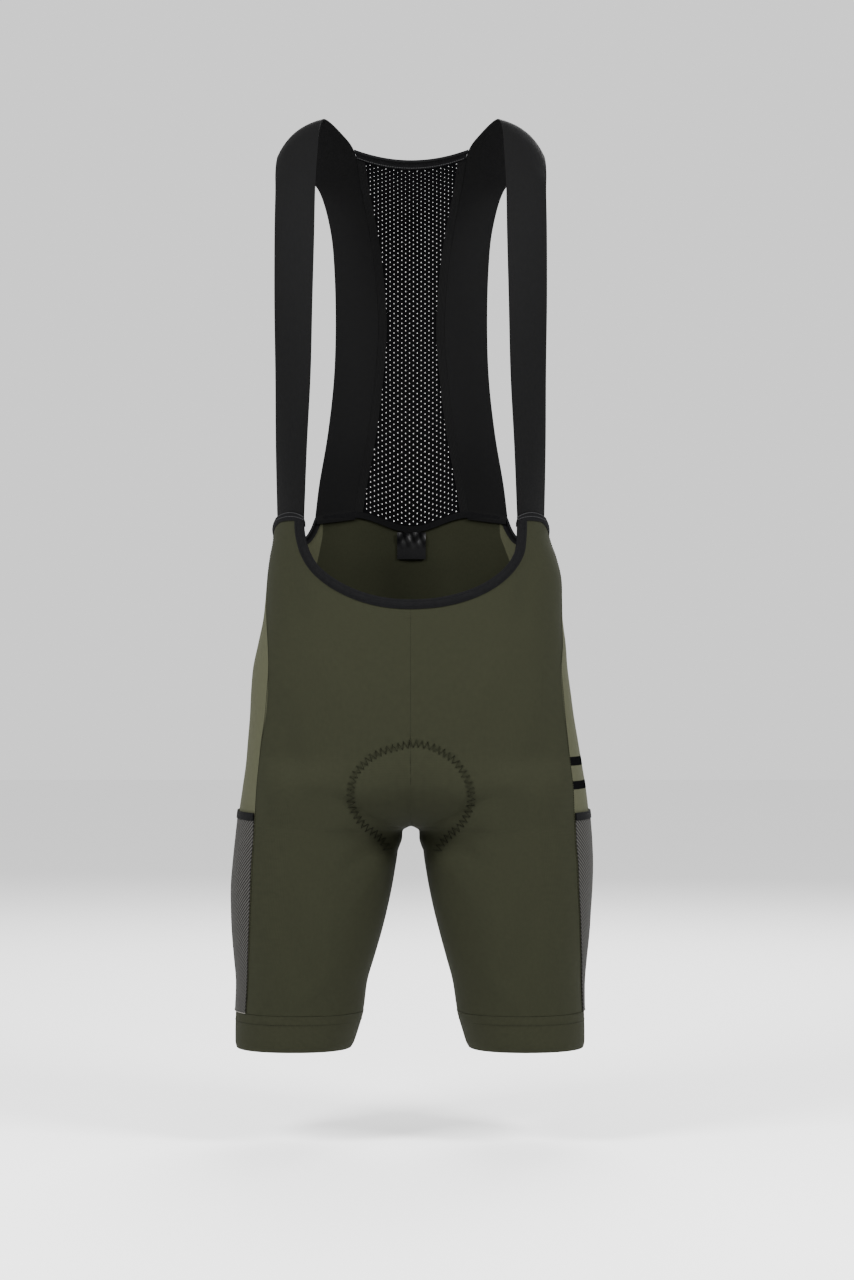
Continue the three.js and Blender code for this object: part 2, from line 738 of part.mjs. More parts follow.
// The scoop's binding follows the panels' own top knots, drawn in across the scoop.
function necklineBinding() {
  const top = (body) => body.grid[LAST_ROW].slice(0, SCOOP_COLUMNS).map(({ p }) => p);
  const edge = [...top(bodies[1]).reverse(), ...top(bodies[0]).slice(1)];
  const knots = [EDGE_GAP, BINDING_WIDTH / 2, BINDING_WIDTH].map((inset) => edge.map((p) => {
    const wide = Math.min(1, Math.abs(p.x) / NECKLINE_HALF_WIDTH);
    const deep = Math.max(0, (PEAK_TOP - p.z) / (PEAK_TOP - NECKLINE_LOW));
    const across = new THREE.Vector2(
      (Math.sign(p.x) * Math.pow(wide, NECKLINE_ROUNDNESS - 1)) / NECKLINE_HALF_WIDTH,
      -Math.pow(deep, NECKLINE_ROUNDNESS - 1) / (PEAK_TOP - NECKLINE_LOW),
    ).setLength(inset);
    return { p: frontPoint(p.x - across.x, p.z - across.y) };
  }));
  const patches = addNormals([{ knots, flip: false }]);
  return wall("neckline_binding", patches, BINDING_WALL / 2, -BINDING_WALL / 2, BLACK, 0.8);
}

// The armhole's binding stands on the top knots of the side panel and the front peak's corner. It
// narrows to both ends of the strap.
function armholeBinding({ side, word, flip, shares }) {
  const first = FRONT_LAST - 1;
  const endGaps = new Map([[first, ARMHOLE_END_GAP], [BACK_FIRST, -ARMHOLE_END_GAP]]);
  const knots = [0, 0.5, 1].map((share) => {
    const row = [];
    for (let c = first; c <= BACK_FIRST; c += 1) {
      const width = endGaps.has(c) ? ARMHOLE_BINDING_END_WIDTH : ARMHOLE_BINDING_WIDTH;
      const level = columnTop(side, c, shares) + mix(EDGE_GAP, width, share);
      const here = bodyRow(side, level);
      const drawnIn = endGaps.get(c) ?? 0;
      row.push({ p: pointAlong(here, columnReach(side, level, c, shares, here) + drawnIn) });
    }
    return row;
  });
  const patches = addNormals([{ knots, flip }]);
  return wall(
    "armhole_binding_" + word, patches, BINDING_WALL / 2, -BINDING_WALL / 2, BLACK, 0.8,
  );
}

// A knot on the inside of the back panels at a distance from the middle and a height.
function backKnot(x, z) {
  const body = bodies[x < 0 ? 1 : 0];
  const row = bodyRow(body.side, z);
  const point = x === 0
    ? pointAlong(row, row.length)
    : pointAlong(row, reachOf(row, Math.abs(x), true));
  point.x = x;
  return { p: point };
}

const TAPE_PARTS = 20;

function waistTape() {
  const knots = [-SEAM_GAP - TAPE_WIDTH, -SEAM_GAP].map((drop) => {
    const row = [];
    for (let i = 0; i <= TAPE_PARTS; i += 1) {
      const x = mix(TAPE_HALF_LENGTH, -TAPE_HALF_LENGTH, i / TAPE_PARTS);
      row.push(backKnot(x, waistSeamZ(Math.abs(x)) + drop));
    }
    return row;
  });
  const patches = addNormals([{ knots, flip: false }]);
  const under = -PANEL_WALL / 2 - TAPE_CLEARANCE;
  return wall("waist_tape", patches, under, under - TAPE_WALL, BLACK, 0.8);
}

const LABEL_PARTS = 4;

function label() {
  const knots = [];
  for (let r = 0; r <= LABEL_PARTS; r += 1) {
    const z = mix(LABEL_LOW, LABEL_TOP, r / LABEL_PARTS);
    const row = [];
    for (let c = 0; c <= LABEL_PARTS; c += 1) {
      row.push(backKnot(mix(LABEL_HALF_WIDTH, -LABEL_HALF_WIDTH, c / LABEL_PARTS), z));
    }
    knots.push(row);
  }
  const patches = addNormals([{ knots, flip: false }]);
  const under = -PANEL_WALL / 2 - TAPE_CLEARANCE;
  return wall("label", patches, under, under - TAPE_WALL, BLACK, 0.45);
}

const PAD_PARTS = 5;

// The pad lies inside the crotch: one patch to the front and one to the back on each side, joined
// on the middle line above the crotch and on the inseams below it.
function chamois() {
  const patches = [];
  bodies.forEach(({ grid, side }) => {
    [false, true].forEach((fromEnd) => {
      const top = fromEnd ? PAD_BACK_TOP : PAD_FRONT_TOP;
      const knots = [];
      grid.forEach((row) => {
        const level = row[0].level;
        if (level < PAD_LOW || level > top) {
          return;
        }
        const width = fromEnd ? padAt(level).back : padAt(level).front;
        const across = [];
        for (let c = 0; c <= PAD_PARTS; c += 1) {
          across.push(knotAlong(row, (width * c) / PAD_PARTS, fromEnd));
        }
        knots.push(across);
      });
      patches.push({ knots, flip: (side < 0) !== fromEnd });
    });
  });
  const over = -PANEL_WALL / 2 - PAD_CLEARANCE;
  return wall("chamois", patches, over, over - PAD_WALL, PAD_GREY, 0.9);
}

const bibShorts = new THREE.Group();
bibShorts.name = "cycling_bib_shorts";
bodies.forEach((body) => {
  bibShorts.add(...panels(body), hemBand(body), ...pocketParts(body));
  bibShorts.add(strap(body), armholeBinding(body));
});
bibShorts.add(backMesh(), backTopBinding(), necklineBinding(), waistTape(), label(), chamois());

export default bibShorts;
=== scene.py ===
import math

import bmesh
import bpy
from mathutils import Matrix, Vector


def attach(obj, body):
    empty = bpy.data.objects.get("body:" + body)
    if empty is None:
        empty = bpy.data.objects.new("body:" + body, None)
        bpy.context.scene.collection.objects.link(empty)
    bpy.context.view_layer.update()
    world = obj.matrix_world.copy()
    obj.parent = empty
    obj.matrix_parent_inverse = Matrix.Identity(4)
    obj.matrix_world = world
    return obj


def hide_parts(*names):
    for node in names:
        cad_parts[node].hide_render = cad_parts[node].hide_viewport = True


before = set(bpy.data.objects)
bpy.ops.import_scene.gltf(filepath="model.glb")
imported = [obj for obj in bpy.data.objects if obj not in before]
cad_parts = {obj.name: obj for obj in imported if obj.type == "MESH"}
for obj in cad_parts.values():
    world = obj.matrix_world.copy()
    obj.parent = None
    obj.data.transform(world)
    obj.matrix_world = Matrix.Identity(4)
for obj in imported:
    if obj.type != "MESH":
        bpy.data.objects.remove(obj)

bl_info = {
    "name": "Cycling bib shorts",
    "version": (1, 0, 0),
    "blender": (4, 5, 0),
    "location": "3D View > Sidebar > Bib shorts",
    "description": "Builds filled-out cycling bib shorts with straps, mesh yoke and net pockets",
    "category": "Add Mesh",
}

MM = 0.001

# Heights of the main lines, in millimetres, z up from the strap crowns.
PEAK_TOP = -402
NECKLINE_LOW = -489
NECKLINE_HALF_WIDTH = 112.5
NECKLINE_ROUNDNESS = 2.15
PEAK_OUTER_X = 127
SIDE_SEAM_TOP = -412
YOKE_CORNER_X = 91
YOKE_CORNER_Z = -395.5
WAIST_SEAM_LOW = -404
WAIST_SEAM_RISE = 15
WAIST_SEAM_REACH = 60
WAIST_SEAM_CORNER_DROP = 5.5
YOKE_END_INNER_X = 58.4
PATTERN_TOP = -520
CROTCH = -703
FORK_TOP = -632
HEM_SEAM = -889
HEM_EDGE = -925
POCKET_TOP = -697
POCKET_BINDING_TOP = -689.5
LEG_ROUNDNESS = 2.3
WAIST_ROUNDNESS = 2.3
HIP_ROUNDNESS = 2.9
WAIST_LEVEL = -440
FORK_ROUNDNESS = 1.2
FORK_BLEND = 40

# The notch just under the crotch, in millimetres.
NOTCH_LEVEL = -707
NOTCH_HEIGHT = 6
NOTCH_WIDENING = 4
NOTCH_REACH = 9

# Level sections of the body and legs, in millimetres.
SECTION_COLUMNS = (
    "z", "outer_right", "outer_left", "inner_right", "inner_left",
    "front", "back", "seam_right", "seam_left", "seam_back",
)
SECTIONS = (
    (-385, 136, 136, 0, 0, 102, 96, 0.3, 0.3, 45),
    (-412, 136.5, 136.5, 0, 0, 104, 98, 0.3, 0.3, 45.5),
    (-424, 137.5, 139.5, 0, 0, 105, 98.5, 0.4, 0.4, 44.5),
    (-436, 140, 144, 0, 0, 105.5, 99, 0.6, 0.5, 44.5),
    (-458, 143, 149.5, 0, 0, 107, 101, 1, 0.8, 42),
    (-482, 145, 150.5, 0, 0, 108, 103, 2.5, 1, 40),
    (-500, 147, 151, 0, 0, 109, 105, 5, 2, 38),
    (-524, 152, 154, 0, 0, 110, 108, 12, 4.5, 34),
    (-548, 157, 156, 0, 0, 111, 111, 18, 8, 32),
    (-572, 159, 159, 0, 0, 111.5, 114, 18.5, 9.5, 30),
    (-596, 160, 162, 0, 0, 111, 117.5, 17.5, 10.5, 28),
    (-620, 162, 166, 0, 0, 110, 120, 16, 12, 26),
    (-644, 164, 170, 0, 0, 108.5, 121, 15.5, 13.5, 24),
    (-668, 167.5, 174, 0, 0, 106, 120, 17, 15, 22),
    (-692, 171, 177, 0, 0, 102, 115.5, 19, 17, 21),
    (-703, 172, 178, 0, 0, 99.5, 112, 19.5, 17.5, 20),
    (-707, 172.5, 178.3, 5, 5, 98.5, 110.5, 20, 17.7, 20),
    (-716, 173.5, 179, 11, 10.5, 97, 107.5, 20.5, 18, 20),
    (-740, 176, 180, 15, 14, 94, 101, 21, 17, 19),
    (-764, 178, 179.5, 19, 18, 91, 95, 22, 15.5, 18),
    (-788, 178, 178, 24, 23, 88, 90.5, 21, 12.5, 17),
    (-812, 177, 176.5, 30, 29, 84.5, 86, 19, 10, 16),
    (-836, 175, 174, 37, 35.5, 80.5, 81, 16, 6.5, 14),
    (-860, 173, 172, 44, 42, 76, 76, 13, 4, 12),
    (-889, 174, 172, 48, 46.5, 70, 70, 12, 2.5, 11),
    (-907, 174.5, 172.5, 53, 51.5, 68.5, 68.5, 12, 2.5, 11),
    (-925, 174.5, 172.5, 59, 57, 67, 67, 12, 2.5, 11),
)

# One strap from the front peak over the shoulder and down the back to the waist seam.
STRAP_COLUMNS = ("inner_x", "inner_y", "inner_z", "outer_x", "outer_y", "outer_z", "bow")
STRAP_STATIONS = (
    (104.7, -73, -401.2, 131.6, -34.5, -400.4, 3),
    (101.4, -84, -330, 132.3, -55, -330, 3),
    (97.5, -91, -260, 132.3, -68, -260, 2.5),
    (95.8, -89, -190, 133.2, -71, -190, 2.5),
    (94.3, -74, -120, 133.5, -62, -120, 3),
    (93.9, -54, -70, 133.3, -48, -78, 4),
    (92.3, -34, -34, 134, -29, -58, 6),
    (91, -16, -10, 133.5, -13, -43, 7),
    (86, 2, 0.7, 131.5, 3, -35.5, 7),
    (71, 29, -9, 124, 31, -40, 6),
    (57.5, 54, -25, 111, 56, -47, 4),
    (52, 80, -56, 94, 79, -62, 2),
    (43.5, 101, -100, 83, 93, -100, 1.2),
    (37.5, 107, -143, 79, 99, -143, 1),
    (34, 105, -200, 77.8, 97, -200, 1),
    (38, 99, -255, 79.6, 90, -255, 1),
    (45, 94, -310, 85.6, 84, -310, 1),
    (54, 92.5, -360, 93.8, 78, -360, 1),
    (58.4, 90, -388.5, 97.8, 73, -394, 1.5),
)
YOKE_END_STATION = 18
MESH_TOP_STATION = 10.22
MESH_BULGE = 5
NECK_BULGE = 14
NECK_DIP = 9

# Height of the armhole's edge along its share from the front peak to the yoke's corner.
ARMHOLE_COLUMNS = ("share", "z")
ARMHOLE_EDGE = (
    (0, PEAK_TOP), (0.12, -406.5), (0.28, -413), (0.5, -419.5), (0.7, -423.5), (0.88, -422),
    (0.95, -411), (1, YOKE_CORNER_Z),
)

# Outline of the pad's zigzag stitching seen from the front: distance from the middle and height.
PAD_OUTLINE_RIGHT = (
    (0, -620.5), (-14, -624), (-25, -627), (-36, -632), (-43, -638), (-51, -646), (-56, -655),
    (-58, -666), (-58, -676), (-55, -687), (-49, -697), (-41, -705), (-32, -712), (-26, -719),
    (-23, -728),
)
PAD_OUTLINE_LEFT = (
    (5, -620), (20, -623), (32, -629), (42, -636), (50, -646), (56, -657), (59, -671),
    (58, -682), (54, -692), (48, -702), (38, -711), (30, -720), (26, -730),
)

# Bulge of the pad inside its outline, the groove that its stitching pulls in and the groove of
# the centre seam, in millimetres.
PAD_RISE = 2.6
PAD_SLOPE_WIDTH = 16
PAD_GROOVE_DEPTH = 0.9
PAD_GROOVE_WIDTH = 3.2
PAD_HALF_WIDTH = 80
PAD_TOP = -600
PAD_FOOT = -760
PAD_LOOP_FOOT = (0, -736)
CENTRE_GROOVE_DEPTH = 0.45
CENTRE_GROOVE_WIDTH = 2.2
CENTRE_GROOVE_TOP = NECKLINE_LOW - 10

# How far a crease reaches in half widths, how fast it falls away and how it starts at its ends.
CREASE_REACH = 2.2
CREASE_SOFTNESS = 1.6
CREASE_END_SHARE = 0.12

# Creases of the front and back cloth: face, x and z of both ends, half width, height.
CREASES = (
    ("front", -22, -706, -66, -748, 10, -2.4),
    ("front", -16, -722, -54, -780, 9, 1.9),
    ("front", 26, -704, 70, -741, 11, -2.2),
    ("front", 18, -722, 58, -772, 9, 1.8),
    ("front", -140, -560, -128, -640, 14, -1.9),
    ("front", -124, -585, -104, -690, 16, -2.1),
    ("front", 144, -545, 134, -660, 15, -1.8),
    ("front", 128, -600, 112, -700, 16, -1.9),
    ("front", -120, -670, -74, -648, 15, 1.6),
    ("front", 118, -676, 78, -646, 15, 1.4),
    ("front", -122, -428, -108, -505, 12, -1.9),
    ("front", 121, -424, 106, -512, 13, -1.8),
    ("front", -96, -520, -60, -600, 20, 1.3),
    ("front", 92, -524, 56, -602, 20, 1.3),
    ("front", -128, -775, -104, -872, 15, -2.1),
    ("front", -92, -760, -82, -868, 18, 1.4),
    ("front", 126, -770, 98, -868, 15, -1.9),
    ("front", 84, -764, 76, -866, 18, 1.3),
    ("front", -70, -838, -112, -880, 11, 1.3),
    ("front", 66, -842, 110, -881, 11, 1.1),
    ("back", -100, -640, -30, -688, 14, -1.6),
    ("back", 96, -646, 28, -690, 14, -1.8),
    ("back", -20, -716, -60, -770, 11, 1.4),
    ("back", 18, -714, 62, -762, 11, 1.3),
    ("back", -118, -560, -106, -650, 15, -1.8),
    ("back", 112, -548, 104, -640, 15, -1.9),
    ("back", -124, -770, -100, -868, 15, -1.9),
    ("back", 122, -774, 96, -866, 15, -1.8),
    ("back", -60, -470, -84, -540, 18, 1.4),
    ("back", 58, -474, 86, -544, 18, 1.3),
    ("back", -24, -420, -18, -470, 12, -1.1),
    ("back", 30, -424, 20, -480, 12, -1.0),
)


def mix(a, b, t):
    return a + (b - a) * t


def smooth(t):
    c = min(1.0, max(0.0, t))
    return c * c * (3 - 2 * c)


def read_row(columns, rows, key, keys):
    """Smooth value of every column of a table at a key, through the rows on either side."""
    rising = keys[1] > keys[0]
    i = 0
    while i < len(rows) - 2 and (key > keys[i + 1] if rising else key < keys[i + 1]):
        i += 1
    span = keys[i + 1] - keys[i]
    t = min(1.0, max(0.0, (key - keys[i]) / span))
    before, after = max(0, i - 1), min(len(rows) - 1, i + 2)
    t2, t3 = t * t, t * t * t
    row = {}
    for c, name in enumerate(columns):
        a, b = rows[i][c], rows[i + 1][c]
        slope_a = (b - rows[before][c]) / (keys[i + 1] - keys[before]) * span
        slope_b = (rows[after][c] - a) / (keys[after] - keys[i]) * span
        row[name] = (
            (2 * t3 - 3 * t2 + 1) * a + (t3 - 2 * t2 + t) * slope_a
            + (3 * t2 - 2 * t3) * b + (t3 - t2) * slope_b
        )
    return row


SECTION_KEYS = [row[0] for row in SECTIONS]
STRAP_KEYS = list(range(len(STRAP_STATIONS)))
ARMHOLE_KEYS = [row[0] for row in ARMHOLE_EDGE]


def rounded(value, roundness):
    return math.copysign(abs(value) ** (2 / roundness), value)


def fork_rise(level):
    return min(1.0, max(0.0, (level - CROTCH) / (FORK_TOP - CROTCH)))


def fork_blend(level):
    return (1 - math.cos(math.pi * fork_rise(level))) / 2


def row_plan(side, level, section, turn):
    """Plan of a row before its depth is set: a leg ring blended into the body's half ring."""
    outer = section["outer_left"] if side > 0 else section["outer_right"]
    inner = 0.0
    if level <= CROTCH:
        inner = max(0.0, section["inner_left"] if side > 0 else section["inner_right"])
    half = (outer - inner) / 2
    angle = 2 * math.pi * turn
    leg_depth = rounded(math.sin(angle), LEG_ROUNDNESS)
    near_fork = smooth(1 - abs(level - CROTCH) / FORK_BLEND)
    inner_roundness = mix(LEG_ROUNDNESS, FORK_ROUNDNESS, near_fork)
    if math.cos(angle) > 0:
        leg_width = max(0.0, 1 - abs(leg_depth) ** inner_roundness) ** (1 / LEG_ROUNDNESS)
    else:
        leg_width = rounded(math.cos(angle), LEG_ROUNDNESS)
    leg_x = inner + half - half * leg_width
    if level <= CROTCH:
        below = (level - NOTCH_LEVEL) / NOTCH_HEIGHT
        leg_x += NOTCH_WIDENING * math.exp(-below * below - (leg_x - inner) / NOTCH_REACH)
    sweep = math.pi * turn
    hip_share = smooth((WAIST_LEVEL - level) / (WAIST_LEVEL - FORK_TOP))
    roundness = mix(WAIST_ROUNDNESS, HIP_ROUNDNESS, hip_share)
    torso_x = outer * rounded(max(0.0, math.sin(sweep)), roundness)
    torso_depth = rounded(math.cos(sweep), roundness)
    blend = fork_blend(level)
    return mix(leg_x, torso_x, blend), mix(leg_depth, torso_depth, blend)


ROW_SAMPLES = 120
PLAN_SAMPLES = 40
_rows = {}


def body_row(side, level):
    """The whole row at one level with its running length, from the front middle or inseam."""
    key = (side, round(level, 2))
    if key in _rows:
        return _rows[key]
    section = read_row(SECTION_COLUMNS, SECTIONS, level, SECTION_KEYS)
    most = max(
        row_plan(side, level, section, i / (2 * PLAN_SAMPLES))[1]
        for i in range(PLAN_SAMPLES + 1)
    )
    rise = fork_rise(level)
    fork_z = CROTCH + (FORK_TOP - CROTCH) * (1 - math.sqrt(1 - fork_blend(level) ** 2))
    points, along = [], [0.0]
    for i in range(ROW_SAMPLES + 1):
        turn = i / ROW_SAMPLES
        x, depth = row_plan(side, level, section, turn)
        y = -depth / most * (section["front"] if depth > 0 else section["back"])
        from_end = min(turn, 1 - turn) / 0.25
        sag = (1 + math.cos(math.pi * from_end)) / 2 if from_end < 1 else 0
        z = mix(level, fork_z, sag) if 0 < rise < 1 else level
        points.append(Vector((side * x, y, z)))
        if i:
            along.append(along[-1] + (points[i] - points[i - 1]).length)
    row = {"points": points, "along": along, "length": along[-1], "section": section}
    _rows[key] = row
    return row


def point_along(row, distance):
    d = min(row["length"], max(0.0, distance))
    low, high = 0, ROW_SAMPLES
    along = row["along"]
    while high - low > 1:
        middle = (low + high) // 2
        if along[middle] < d:
            low = middle
        else:
            high = middle
    t = (d - along[low]) / ((along[high] - along[low]) or 1)
    return row["points"][low].lerp(row["points"][high], t)


def reach_of(row, x, from_back=False):
    """Distance along a row at which it stands at x from the middle plane."""
    points, along = row["points"], row["along"]
    if x <= 0:
        return row["length"] if from_back else 0.0
    for i in range(1, ROW_SAMPLES + 1):
        a, b = (ROW_SAMPLES - i + 1, ROW_SAMPLES - i) if from_back else (i - 1, i)
        xa, xb = abs(points[a].x), abs(points[b].x)
        if xa < x <= xb:
            return mix(along[a], along[b], (x - xa) / (xb - xa))
    return row["length"] / 2


def front_seam(side, row):
    s = row["section"]
    if side > 0:
        return reach_of(row, s["outer_left"] - s["seam_left"])
    return reach_of(row, s["outer_right"] - s["seam_right"])


def back_seam(side, row):
    s = row["section"]
    outer = s["outer_left"] if side > 0 else s["outer_right"]
    return reach_of(row, outer - s["seam_back"], True)


def neckline_z(x):
    t = min(1.0, x / NECKLINE_HALF_WIDTH)
    share = (1 - t ** NECKLINE_ROUNDNESS) ** (1 / NECKLINE_ROUNDNESS)
    return PEAK_TOP + (NECKLINE_LOW - PEAK_TOP) * share


NECK_STEPS = 60
_neckline = []


def neckline_edge():
    """The front panels' own top edge along the scoop, as (x, z) from right to left."""
    if not _neckline:
        halves = []
        for side in (-1, 1):
            row = body_row(side, PEAK_TOP)
            whole = front_seam(side, row)
            half = []
            for i in range(1, NECK_STEPS + 1):
                turn = math.sin(i / NECK_STEPS * math.pi / 2)
                x = NECKLINE_HALF_WIDTH * turn ** (2 / NECKLINE_ROUNDNESS)
                here = body_row(side, neckline_z(x))
                p = point_along(here, reach_of(row, x) / whole * front_seam(side, here))
                half.append(Vector((p.x, p.z)))
            halves.append(half)
        _neckline.extend([*reversed(halves[0]), Vector((0, NECKLINE_LOW)), *halves[1]])
    return _neckline


def neckline_point(turn, inset):
    """Front point of the scoop, turn from -1 to 1 across it, drawn in from its edge."""
    edge = neckline_edge()
    place = (turn + 1) * NECK_STEPS
    i = min(2 * NECK_STEPS - 1, max(0, int(place)))
    at = edge[i].lerp(edge[i + 1], place - i)
    run = edge[min(2 * NECK_STEPS, i + 2)] - edge[max(0, i - 1)]
    x, z = at + Vector((-run.y, run.x)).normalized() * inset
    row = body_row(-1 if x < 0 else 1, z)
    p = point_along(row, reach_of(row, abs(x)))
    return Vector((x, p.y, z))


def waist_seam_z(x):
    t = min(1.0, x / WAIST_SEAM_REACH)
    corner = max(0.0, (x - YOKE_END_INNER_X) / (YOKE_CORNER_X - YOKE_END_INNER_X))
    rise = WAIST_SEAM_RISE * (1 - math.cos(math.pi * t)) / 2
    return WAIST_SEAM_LOW + rise - WAIST_SEAM_CORNER_DROP * corner


def armhole_z(t):
    c = min(1.0, max(0.0, t))
    return read_row(ARMHOLE_COLUMNS, ARMHOLE_EDGE, c, ARMHOLE_KEYS)["z"]


FRONT_SHARES_AT = (
    0, 19, 38, 55, 71, 84, 94, 101.5, 107, 110.7, NECKLINE_HALF_WIDTH, 117.5, 122.5,
    PEAK_OUTER_X,
)


def front_shares(side, steps):
    """Column shares of the front panel, closer together towards the peak."""
    row = body_row(side, PEAK_TOP)
    whole = front_seam(side, row)
    stops = [reach_of(row, x) / whole for x in FRONT_SHARES_AT] + [1.0]
    shares = []
    for i in range(steps + 1):
        t = i / steps * (len(stops) - 1)
        k = min(len(stops) - 2, int(t))
        shares.append(mix(stops[k], stops[k + 1], t - k))
    return shares


def armhole_span(side):
    row = body_row(side, SIDE_SEAM_TOP)
    return row, reach_of(row, PEAK_OUTER_X), reach_of(row, YOKE_CORNER_X, True)


def front_top(side, share):
    row = body_row(side, PEAK_TOP)
    x = abs(point_along(row, share * front_seam(side, row)).x)
    if x <= NECKLINE_HALF_WIDTH:
        return neckline_z(x)
    if x <= PEAK_OUTER_X:
        return PEAK_TOP
    row, start, end = armhole_span(side)
    return armhole_z((share * front_seam(side, row) - start) / (end - start))


def side_top(side, share):
    row, start, end = armhole_span(side)
    here = mix(front_seam(side, row), back_seam(side, row), share)
    return armhole_z((here - start) / (end - start))


def back_top(side, share):
    row = body_row(side, YOKE_CORNER_Z)
    x = abs(point_along(row, mix(back_seam(side, row), row["length"], share)).x)
    return waist_seam_z(x)


def panel_point(kind, side, share, level):
    row = body_row(side, level)
    if kind == "front":
        return point_along(row, share * front_seam(side, row))
    if kind == "side":
        return point_along(row, mix(front_seam(side, row), back_seam(side, row), share))
    if kind == "back":
        return point_along(row, mix(back_seam(side, row), row["length"], share))
    return point_along(row, share * row["length"])


TOPS = {"front": front_top, "side": side_top, "back": back_top}


def segment_distance(x, z, ax, az, bx, bz):
    dx, dz = bx - ax, bz - az
    t = min(1.0, max(0.0, ((x - ax) * dx + (z - az) * dz) / (dx * dx + dz * dz)))
    return math.hypot(x - ax - t * dx, z - az - t * dz), t


PAD_LOOP = (*PAD_OUTLINE_RIGHT, PAD_LOOP_FOOT, *reversed(PAD_OUTLINE_LEFT))


def pad_depth(x, z):
    """Distance of a front point inside the pad's outline, negative outside it."""
    inside, nearest = False, 1e9
    for i, (ax, az) in enumerate(PAD_LOOP):
        bx, bz = PAD_LOOP[(i + 1) % len(PAD_LOOP)]
        if (az > z) != (bz > z) and x < (bx - ax) * (z - az) / (bz - az) + ax:
            inside = not inside
        nearest = min(nearest, segment_distance(x, z, ax, az, bx, bz)[0])
    return nearest if inside else -nearest


def relief(p):
    """Height of the cloth's folds and of the pad's bulge at a body point, in millimetres."""
    height = 0.0
    face = "front" if p.y < 0 else "back"
    for side, ax, az, bx, bz, half_width, rise in CREASES:
        if side != face:
            continue
        away, t = segment_distance(p.x, p.z, ax, az, bx, bz)
        if away < CREASE_REACH * half_width:
            fade = math.sin(math.pi * mix(CREASE_END_SHARE, 1 - CREASE_END_SHARE, t))
            height += rise * fade * math.exp(-((away / half_width) ** 2) * CREASE_SOFTNESS)
    if face == "back":
        return height
    if abs(p.x) < PAD_HALF_WIDTH and PAD_FOOT < p.z < PAD_TOP:
        depth = pad_depth(p.x, p.z)
        height += PAD_RISE * smooth(depth / PAD_SLOPE_WIDTH)
        height -= PAD_GROOVE_DEPTH * math.exp(-((depth / PAD_GROOVE_WIDTH) ** 2))
    if p.z < CENTRE_GROOVE_TOP:
        height -= CENTRE_GROOVE_DEPTH * math.exp(-((p.x / CENTRE_GROOVE_WIDTH) ** 2))
    return height


def strap_point(side, station, across):
    s = read_row(STRAP_COLUMNS, STRAP_STATIONS, station, STRAP_KEYS)
    ahead = read_row(
        STRAP_COLUMNS, STRAP_STATIONS, min(YOKE_END_STATION, station + 0.05), STRAP_KEYS
    )
    behind = read_row(STRAP_COLUMNS, STRAP_STATIONS, max(0, station - 0.05), STRAP_KEYS)

    def middle(r):
        return Vector((
            (r["inner_x"] + r["outer_x"]) / 2,
            (r["inner_y"] + r["outer_y"]) / 2,
            (r["inner_z"] + r["outer_z"]) / 2,
        ))

    inner = Vector((s["inner_x"], s["inner_y"], s["inner_z"]))
    outer = Vector((s["outer_x"], s["outer_y"], s["outer_z"]))
    out = (outer - inner).cross(middle(ahead) - middle(behind)).normalized()
    point = inner.lerp(outer, across) + out * (s["bow"] * 4 * across * (1 - across))
    return Vector((side * point.x, point.y, point.z))


def back_point(station, s):
    """A point of the back between the straps; s runs from -1 to 1 between their neck edges."""
    edge = strap_point(1, station, 0)
    upper = smooth((MESH_TOP_STATION + 3 - station) / 3)
    x = s * edge.x
    bulge = mix(MESH_BULGE, NECK_BULGE, upper) * (1 - s * s)
    dip = NECK_DIP * upper * (1 - s * s)
    sink_share = smooth((station - (YOKE_END_STATION - 4)) / 4)
    sink = (waist_seam_z(edge.x) - waist_seam_z(abs(x))) * sink_share
    return Vector((x, edge.y + bulge, edge.z - dip - sink))


def front_point(x, z):
    """The front cloth's point seen from the front at x and z."""
    side = -1 if x < 0 else 1
    low, high = z - 45, z + 45
    for _ in range(12):
        level = (low + high) / 2
        row = body_row(side, level)
        p = point_along(row, reach_of(row, abs(x)))
        if p.z < z:
            low = level
        else:
            high = level
    return Vector((x, p.y, p.z))


